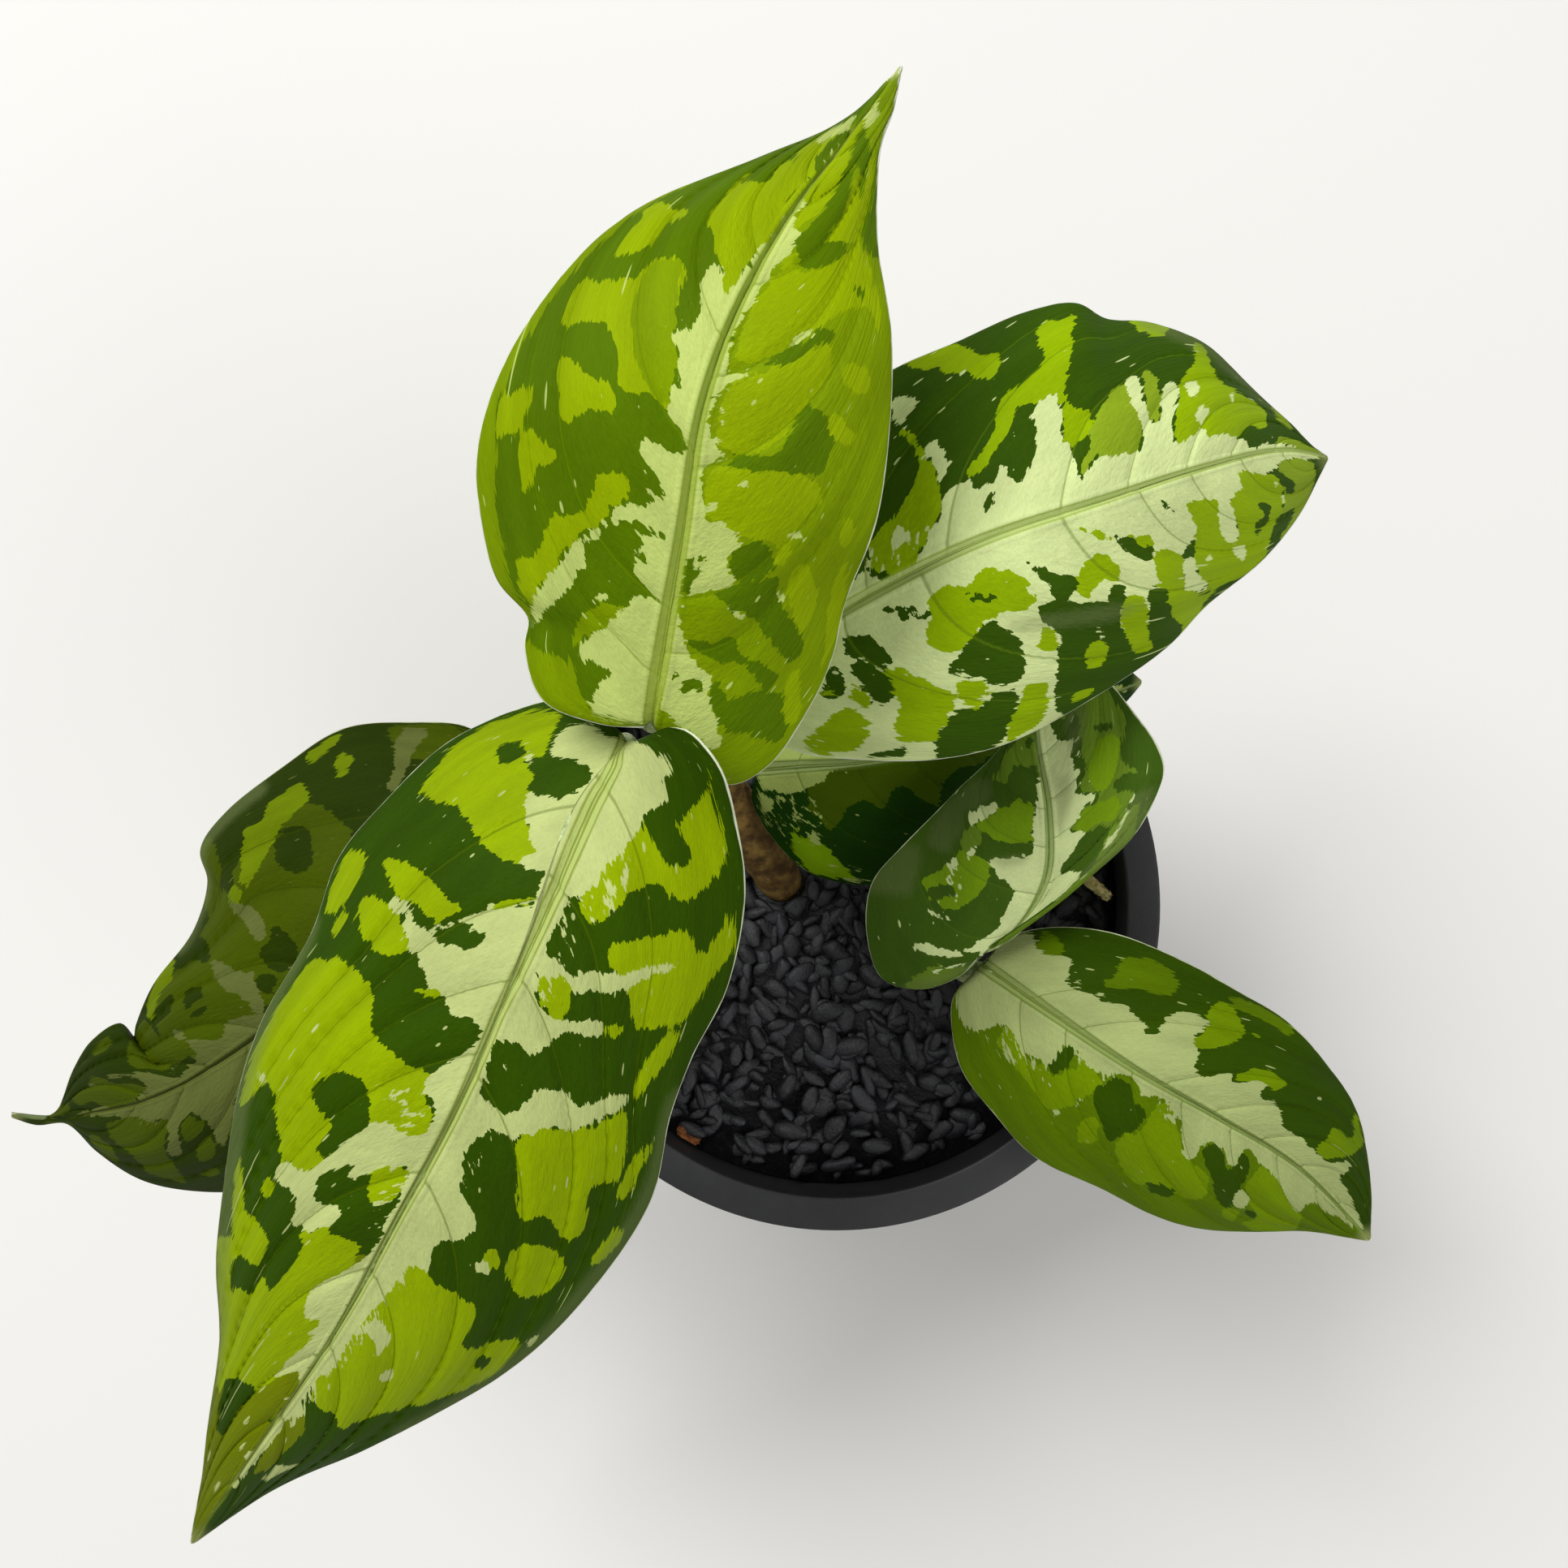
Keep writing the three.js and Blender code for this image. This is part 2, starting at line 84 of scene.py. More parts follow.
# Gravel. A pebble's width and height are shares of its length. One pebble in three lies in the upper layer.
GRAVEL_TOP = 91
GRAVEL_BED = 89.3
BED_BOTTOM = 88.4
BED_SIDES = 96
PEBBLES = 1080
PEBBLE_LENGTH = (1.7, 3.7)  # half-lengths
PEBBLE_WIDTH = (0.42, 0.68)
PEBBLE_HEIGHT = (0.32, 0.5)
PEBBLE_FLATS = 7
PEBBLE_TILT = 0.3
UPPER_LAYER = (90.4, 91.6)
LOWER_LAYER = (88.9, 90.2)
WALL_GAP = 0.3
STEM_GAP = 1.1  # a pebble keeps this share of its half-width clear of a stem
GRAVEL_COLORS = ((14, 14, 16), (42, 42, 47))
GRAVEL_DUST = (72, 72, 78)
SOIL_COLORS = ((26, 18, 13), (70, 52, 38))

# Canes, stub and chip of bark
CANES = {
    "main_cane": {
        "route": (
            (-8, 0, 70), (-11, 5.5, 92), (-14.5, 12, 103), (-18.5, 19, 114), (-22, 23.5, 127), (-24, 27, 150),
        ),
        "radius": (4.9, 3.6),
        "rings": 13,
        "slot": "cane_bark",
    },
    "side_cane": {
        "route": ((11, -0.5, 76), (12, -1, 92), (13.5, -2, 103), (15, -3.5, 112)),
        "radius": (3.3, 2.7),
        "rings": 6,
        "slot": "cane_green",
    },
}
CANE_STEPS = 180
CANE_SIDES = 36
RING_SCALE = 160  # a cane's length in the units of the ring profile
RING = (0, 1.6)  # middle and width of a ring, of the groove after it, and of its darker scar
GROOVE = (3.2, 1.2)
SCAR = (2.4, 1.6)
RING_HEIGHT = 0.16
GROOVE_DEPTH = 0.12
CANE_LUMPS = 8
LUMP_HEIGHT = 0.18
CANE_END = 0.015  # share of its length over which a cane's end is rounded
STUB = ((38, 12.5, 80), (43, 8.5, 90.5), (51, 1.5, 97))
STUB_RADIUS = (1.4, 1.0)
STUB_TORN_ABOVE = 96
STUB_TEAR = 0.25
CHIP_PLACE = (-27.3, -44, 91.3)
CHIP_SIZE = (5.2, 2.6, 1.3)
CHIP_FULLNESS = 1.15  # makes up for what the flats cut off
CHIP_TURN = -0.5
CHIP_FLATS = 10
BARKS = {  # dark and light colour, scale of the fibres and relief
    "cane_bark": ((76, 52, 18), (142, 112, 54), 0.35, 0.5),
    "cane_green": ((74, 78, 42), (132, 134, 84), 0.35, 0.5),
    "dry_stub": ((176, 158, 92), (226, 214, 150), 0.8, 0.25),
    "bark": ((86, 46, 20), (158, 96, 50), 1.1, 0.5),
}

# Shape of the blades and stalks
BLADE_ROWS = 230
ROW_CROWDING = 1.2
COLUMN_STRETCHES = ((0, 0.12, 12), (0.12, 0.94, 26), (0.94, 1, 6))  # shares of a half blade, and columns
HALF_THICKNESS = 0.32
ROUNDED_MARGIN = 0.9  # the margin thins out over this width
MARGIN_LEAD = 0.68
TIP_TRIM = 0.004
END_FADE = 0.06
CROWN = 0.09
WAVES = 4.5
WAVE_HEIGHT = 0.6
WAVE_POWER = 3
RIB_AT_BASE = 1.4  # half-width of the midrib's channel
RIB_AT_TIP = 0.5
RIB_TAPER = 0.7
RIB_DEPTH = 0.75
RIB_FALL = 1.6
RIDGE = (1.15, 0.35)  # place and width of the ridge beside the channel, in half-widths of the channel
RIDGE_HEIGHT = 0.3
STRAIGHT = ((0, 0), (1, 0))  # the sway of a midrib that keeps to the blade's middle
VEIN_SWEEP = (0.08, 0.3)  # how a side vein leans to the tip: straight part, and part that grows to the margin
VEIN_STEP = 0.115  # share of the midrib between side veins
VEIN_LAST = 0.93
VEIN_RUN_OUT = 0.06  # how far before the first vein and after the last one the quilting ends
VEIN_SPACING = 12  # mm that count as one panel between side veins
VEIN_DEPTH = 0.5
VEIN_WIDTH = 0.75
QUILT_HEIGHT = 0.7
QUILT_POWER = 0.8
FULL_LENGTH = 160  # a blade at least this long has veins as deep as given here
STALK_STEPS = 110
STALK_SIDES = 20
STALK_TAPER = 0.6
STALK_CHANNEL = 0.35
KEEL_STEPS = 12
KEEL_REACH = 0.8  # share of the midrib with a keel under it
KEEL_END = 0.4
KEEL_DROP = 0.2  # how far the keel stays under the blade's middle, as a share of the half-thickness

# Marks of the blades
TONES = ("pale", "lime", "dark", "mid")
GROUND_TONE = "dark"
EDGE_STEP = (0.03, 0.25)  # longest edge of a patch along the midrib and across
CORNER_CUTS = 2
FIELD_LIMIT = 3.0  # mm from a patch's edge past which no jag reaches
FRAY_EVEN = 0.2  # mm between the fields where pale flecks mix with another tone
WANDER = 2.6  # mm of the broad noise that bends the edges between patches
STREAK = 2.2  # mm of the fine noise that draws the edges out along the side veins
TONE_EDGE = 0.06  # mm over which one tone blends into the next
# Painted sheen: the colour and share of a dull reflection painted where a blade bends away or is creased
PAINTED_SHEEN = (106, 118, 70)  # the dull sheen where a blade bends away or is creased
PAINTED_SHEEN_SHARE = 0.4
SPECK_SHARE = 0.85
# Painted shade in the creases of the side veins, over their own darker green: how much of it shows
VEIN_CREASE_SHADE_SHARE = 0.5
RIB_SHARE = 0.85
RIB_LINES = 8.0
# Painted highlight at the tip: it starts at this share of the midrib
TIP_HIGHLIGHT_START = 0.94
HALF_OFFSET = 50.0  # keeps the noise of a blade's halves apart, and of one leaf from the next
LEAF_OFFSET = 17
MIDRIB_BAND = ("pale", (-2, 3), (92, 1), (92, -1), (-2, -3))

# Each leaf: the route of its stalk, its midrib, and its margins left and right as seen from the base
LEAVES = {
    "leaf_top": {
        "stalk": ((-24, 27, 149), (-24, 29, 165), (-25.5, 31.5, 185), (-26.5, 31, 197)),
        "radius": (2.5, 1.5),
        "midrib": (
            (-26, 30.5, 201), (-24, 40, 207), (-21.5, 51.5, 214), (-19, 65, 219), (-15.5, 75, 220),
            (-9.5, 87.5, 216), (-3, 98.5, 209), (5.5, 114, 197),
        ),
        "left": (
            (-27, 29.5, 202), (-32.5, 30, 203), (-39.5, 33, 203), (-41.5, 39.5, 204), (-41, 43, 205),
            (-44.5, 47.5, 207), (-46, 54.5, 209), (-46, 61.5, 211), (-42.5, 71.5, 214),
            (-36.5, 80.5, 215), (-25.5, 91, 213), (-12.5, 97.5, 209), (-1, 105, 204), (5.5, 114, 197),
        ),
        "right": (
            (-25.5, 29.5, 199.5), (-21.5, 25, 195), (-16.5, 22.5, 194), (-11.5, 25, 195), (-6.5, 32, 197),
            (-3.5, 38.5, 200), (-2, 45, 203), (1.5, 54, 208), (3, 65.5, 212), (3, 74.5, 214),
            (1.5, 86, 213), (2, 98.5, 208), (4, 106, 203), (5.5, 114, 197),
        ),
    },
    "leaf_front": {
        "stalk": ((-23.5, 26, 139), (-28.5, 24, 152), (-31.5, 25, 172), (-31, 27.5, 190)),
        "radius": (2.6, 1.6),
        "midrib": (
            (-29.5, 28, 196), (-35.5, 20, 199), (-41, 4.5, 202), (-50.5, -17, 199), (-60, -33.5, 193),
            (-71, -52, 183), (-86, -73.5, 169), (-100.5, -94, 153),
        ),
        "left": (
            (-28.5, 27, 197), (-25.5, 28.5, 201), (-23, 29.5, 205), (-21, 29, 206), (-17.5, 25, 205),
            (-15.5, 18, 201), (-14.5, 8.5, 197), (-17, -4, 193), (-21.5, -13, 190), (-24.5, -21, 188),
            (-27.5, -33.5, 184), (-36.5, -47.5, 180), (-49.5, -60.5, 175), (-70, -73.5, 167),
            (-86.5, -83, 160), (-100.5, -94, 153),
        ),
        "right": (
            (-30.5, 29, 196), (-33.5, 31.5, 195), (-38.5, 33.5, 192), (-44, 32.5, 191), (-53.5, 28, 191),
            (-61.5, 20.5, 191), (-68, 13, 190), (-72, 3, 189), (-78.5, -8.5, 188), (-83.5, -22, 185),
            (-87.5, -40.5, 179), (-89.5, -56, 173), (-94.5, -75.5, 164), (-100.5, -94, 153),
        ),
    },
    "leaf_right": {
        "stalk": ((-22, 23.5, 128), (-18, 28, 140), (-12.5, 36, 160), (-8.5, 41.5, 174)),
        "radius": (2.5, 1.6),
        "midrib": (
            (-7.5, 42.5, 178), (3, 48.5, 184), (16, 54.5, 189), (33, 60.5, 186), (48.5, 66.5, 177),
            (63, 71.5, 164), (73.5, 72.5, 154),
        ),
        "left": (
            (-8.5, 43, 178), (-11.5, 46, 177), (-13.5, 53.5, 177), (-12.5, 62.5, 178), (-8, 70.5, 180),
            (-1.5, 75.5, 181), (6, 79.5, 181), (13.5, 83, 180), (23, 87.5, 179), (30.5, 89, 178),
            (35, 87.5, 176), (42, 88, 173), (49, 86, 171), (55.5, 82.5, 167), (64.5, 77, 161),
            (70, 73.5, 157), (73.5, 72.5, 154),
        ),
        "right": (
            (-8, 41.5, 177), (-11.5, 40.5, 175), (-14.5, 36, 173), (-13, 30, 172), (-7, 27, 172),
            (1.5, 26, 173), (11.5, 26, 174), (21, 28, 174), (33, 34, 172), (44.5, 41.5, 169),
            (52, 48.5, 165), (61, 55.5, 161), (68, 63, 157), (71.5, 69, 155), (73.5, 72.5, 154),
        ),
    },
    "leaf_left": {
        "stalk": ((-19.5, 20, 117), (-26, 21.5, 125), (-38, 23, 137), (-47, 22, 143)),
        "radius": (2.5, 1.5),
        "midrib": (
            (-51.5, 20, 145), (-63, 9, 150), (-78, -5.5, 150), (-94.5, -18.5, 144), (-112, -28.5, 135),
            (-124.5, -32.5, 127), (-135, -35, 120), (-147, -36, 112),
        ),
        "left": (
            (-50, 19.5, 145), (-48, 13, 145), (-49, 4, 145), (-53.5, -7.5, 145), (-62.5, -19, 143),
            (-73.5, -30.5, 139), (-85, -39.5, 134), (-95.5, -44.5, 130), (-108, -46.5, 126),
            (-119, -45, 123), (-127.5, -40.5, 122), (-133.5, -36, 120), (-140.5, -37, 116),
            (-147, -36.5, 112),
        ),
        "right": (
            (-52.5, 22, 145), (-55, 27, 144), (-59.5, 31.5, 143), (-70, 32.5, 141), (-80.5, 31.5, 140),
            (-90.5, 25.5, 139), (-100.5, 18, 137), (-105, 12, 135), (-103.5, 7, 136), (-106, -1, 136),
            (-113, -10, 134), (-117, -17, 131), (-119.5, -20, 127), (-121, -17.5, 129),
            (-125.5, -20, 128), (-130.5, -26, 124), (-135.5, -34, 120), (-141, -36, 116),
            (-147, -35.5, 112),
        ),
    },
    "leaf_low": {
        "stalk": ((-14.8, 12.5, 104), (-9.5, 17, 108), (-9.5, 21.5, 115), (-12.5, 24.5, 121)),
        "radius": (2.2, 1.3),
        "midrib": (
            (-13.5, 25, 124), (-7, 25.5, 129), (2, 26, 133), (15, 28, 135), (28.5, 32, 132),
            (42, 36.5, 126), (53, 40.5, 117),
        ),
        "left": (
            (-14.5, 26, 124), (-14, 31.5, 125), (-7, 38.5, 126), (4.5, 44.5, 127), (19.5, 48, 127),
            (35, 47.5, 125), (47, 44.5, 120), (53, 40.5, 117),
        ),
        "right": (
            (-14.5, 23.5, 123), (-15, 19.5, 120), (-11, 12.5, 117), (-5, 7, 115), (2.5, 5, 115),
            (11, 5.5, 116), (22, 10.5, 118), (33, 20, 119), (43, 30, 118), (50.5, 37.5, 117),
            (53, 40.5, 117),
        ),
    },
    "leaf_folded": {
        "stalk": ((15, -3.5, 111), (17, -2, 120), (20, -2, 129), (22.5, -4, 134)),
        "radius": (2, 1.3),
        "midrib": (
            (23, -4.5, 136), (28.5, 0, 140), (32, 7.5, 144), (31.5, 18, 149), (29, 30.5, 153),
            (29.5, 39.5, 154), (32, 48.5, 152),
        ),
        "left": (
            (22, -6, 135.5), (19.5, -9, 133), (13, -12, 127), (7, -10.5, 123), (4.5, -3, 123),
            (5, 5.5, 127), (9.5, 12, 134), (17.5, 21, 142), (24, 28, 147), (28, 35.5, 150),
            (31, 43.5, 152), (32, 48.5, 152),
        ),
        "right": (
            (24, -4, 137), (27.5, -1.5, 140), (33, 3.5, 145), (38, 8.5, 150), (44, 15.5, 155),
            (47.5, 24, 158), (47, 27, 158), (43, 33.5, 158), (37.5, 40.5, 156), (32, 48.5, 152),
        ),
    },
    "leaf_lower_right": {
        "stalk": ((13.2, -1.8, 100), (18.5, -8, 110), (22.5, -10.5, 121), (23, -8.5, 128)),
        "radius": (2, 1.4),
        "midrib": (
            (23.5, -7.5, 130), (34.5, -15, 138), (46.5, -23, 142), (59.5, -30.5, 140), (74.5, -40, 134),
            (90, -55, 125),
        ),
        "left": (
            (24.5, -6.5, 131), (27, -3, 132), (33.5, -1, 134), (43.5, -1.5, 137), (55, -6, 138),
            (65, -11.5, 137), (72.5, -16, 135), (79.5, -23, 133), (85, -30, 130), (89, -41, 127),
            (90, -55, 125),
        ),
        "right": (
            (22.5, -9, 129), (19, -13, 128), (18.5, -17, 128), (20, -25, 129), (25.5, -32.5, 130),
            (32, -39.5, 130), (42.5, -44.5, 130), (52, -49.5, 129), (63, -52.5, 128), (77.5, -53, 126),
            (90, -55, 125),
        ),
    },
}

# Slot, veins and colours of each leaf. Its side veins start at these shares of the midrib, left and right.
# "sway" says how far the midrib's channel lies to the left of the blade's middle, as pairs (t, v).
LOOKS = {
    "leaf_top": {
        "slot": "leaf_young",
        "veins": ((0.065, 0.155, 0.35), (0.1, 0.17, 0.33)),
        # Painted glow: these colours are lightened by backlight shining through the young blade
        "colors": {
            "pale": (180, 196, 107), "lime": (136, 159, 0), "mid": (117, 142, 0), "dark": (79, 108, 0),
            "rib": (150, 168, 64), "tip": (216, 228, 160), "margin": (236, 242, 214),
            "under": (126, 148, 60), "under_pale": (168, 184, 118),
            "stalk": (130, 150, 66), "stalk_pale": (190, 202, 140),
        },
    },
    "leaf_front": {
        "slot": "leaf_mature",
        "sway": (
            (0, 0.02), (0.03, 0.1), (0.08, 0.085), (0.15, 0.045),
            (0.25, 0.01), (0.4, 0.02), (0.55, 0.03), (1, 0),
        ),
        "veins": ((0.04, 0.13, 0.21, 0.3), (0.07, 0.15, 0.22, 0.285)),
        "colors": {
            "pale": (177, 188, 119), "lime": (134, 157, 0), "mid": (104, 118, 0), "dark": (44, 71, 0),
            "rib": (168, 184, 102), "tip": (150, 160, 90), "margin": (232, 240, 206),
            "under": (104, 124, 64), "under_pale": (160, 176, 120),
            "stalk": (120, 140, 66), "stalk_pale": (186, 198, 140),
        },
    },
    "leaf_right": {
        "slot": "leaf_mature",
        "veins": ((0.12, 0.24, 0.4), (0.08, 0.2, 0.4)),
        "colors": {
            "pale": (205, 219, 150), "lime": (139, 169, 2), "mid": (132, 158, 30), "dark": (51, 80, 5),
            "rib": (184, 200, 124), "tip": (140, 152, 84), "margin": (232, 238, 214),
            "under": (100, 122, 66), "under_pale": (158, 174, 122),
            "stalk": (116, 138, 66), "stalk_pale": (182, 196, 140),
        },
    },
    "leaf_left": {
        "slot": "leaf_old",
        "veins": ((0.1, 0.24), (0.08, 0.2)),
        # Painted shade: these colours are darkened by the shade of the leaves above, over the older leaf's
        # own dull tones
        "colors": {
            "pale": (90, 98, 46), "lime": (98, 118, 0), "mid": (63, 78, 0), "dark": (36, 51, 0),
            "rib": (98, 106, 54), "tip": (128, 136, 84), "margin": (190, 196, 150),
            "under": (84, 98, 50), "under_pale": (128, 138, 92),
            "stalk": (104, 120, 60), "stalk_pale": (160, 170, 118),
        },
    },
    "leaf_low": {
        "slot": "leaf_old",
        "veins": ((0.1, 0.24), (0.1, 0.24)),
        # Painted shade: these colours are darkened by the shade of the leaves above
        "colors": {
            "pale": (148, 164, 86), "lime": (112, 146, 2), "mid": (62, 82, 0), "dark": (22, 54, 0),
            "rib": (128, 144, 88), "tip": (150, 160, 100), "margin": (184, 194, 150),
            "under": (80, 96, 50), "under_pale": (124, 136, 90),
            "stalk": (104, 120, 60), "stalk_pale": (156, 168, 116),
        },
    },
    "leaf_folded": {
        "slot": "leaf_mature",
        "veins": ((0.1, 0.24, 0.38), (0.1, 0.26, 0.4)),
        "colors": {
            "pale": (206, 219, 154), "lime": (114, 148, 18), "mid": (102, 131, 34), "dark": (62, 90, 21),
            "rib": (176, 192, 122), "tip": (150, 160, 100), "margin": (214, 222, 184),
            "under": (92, 112, 60), "under_pale": (146, 160, 112),
            "stalk": (112, 132, 64), "stalk_pale": (176, 188, 134),
        },
    },
    "leaf_lower_right": {
        "slot": "leaf_mature",
        "veins": ((0.12, 0.22, 0.4), (0.1, 0.2, 0.34)),
        "colors": {
            "pale": (153, 165, 104), "lime": (100, 126, 0), "mid": (80, 105, 0), "dark": (43, 67, 0),
            "rib": (136, 152, 84), "tip": (150, 158, 96), "margin": (206, 214, 170),
            "under": (92, 110, 56), "under_pale": (140, 154, 104),
            "stalk": (108, 128, 60), "stalk_pale": (168, 182, 126),
        },
    },
}

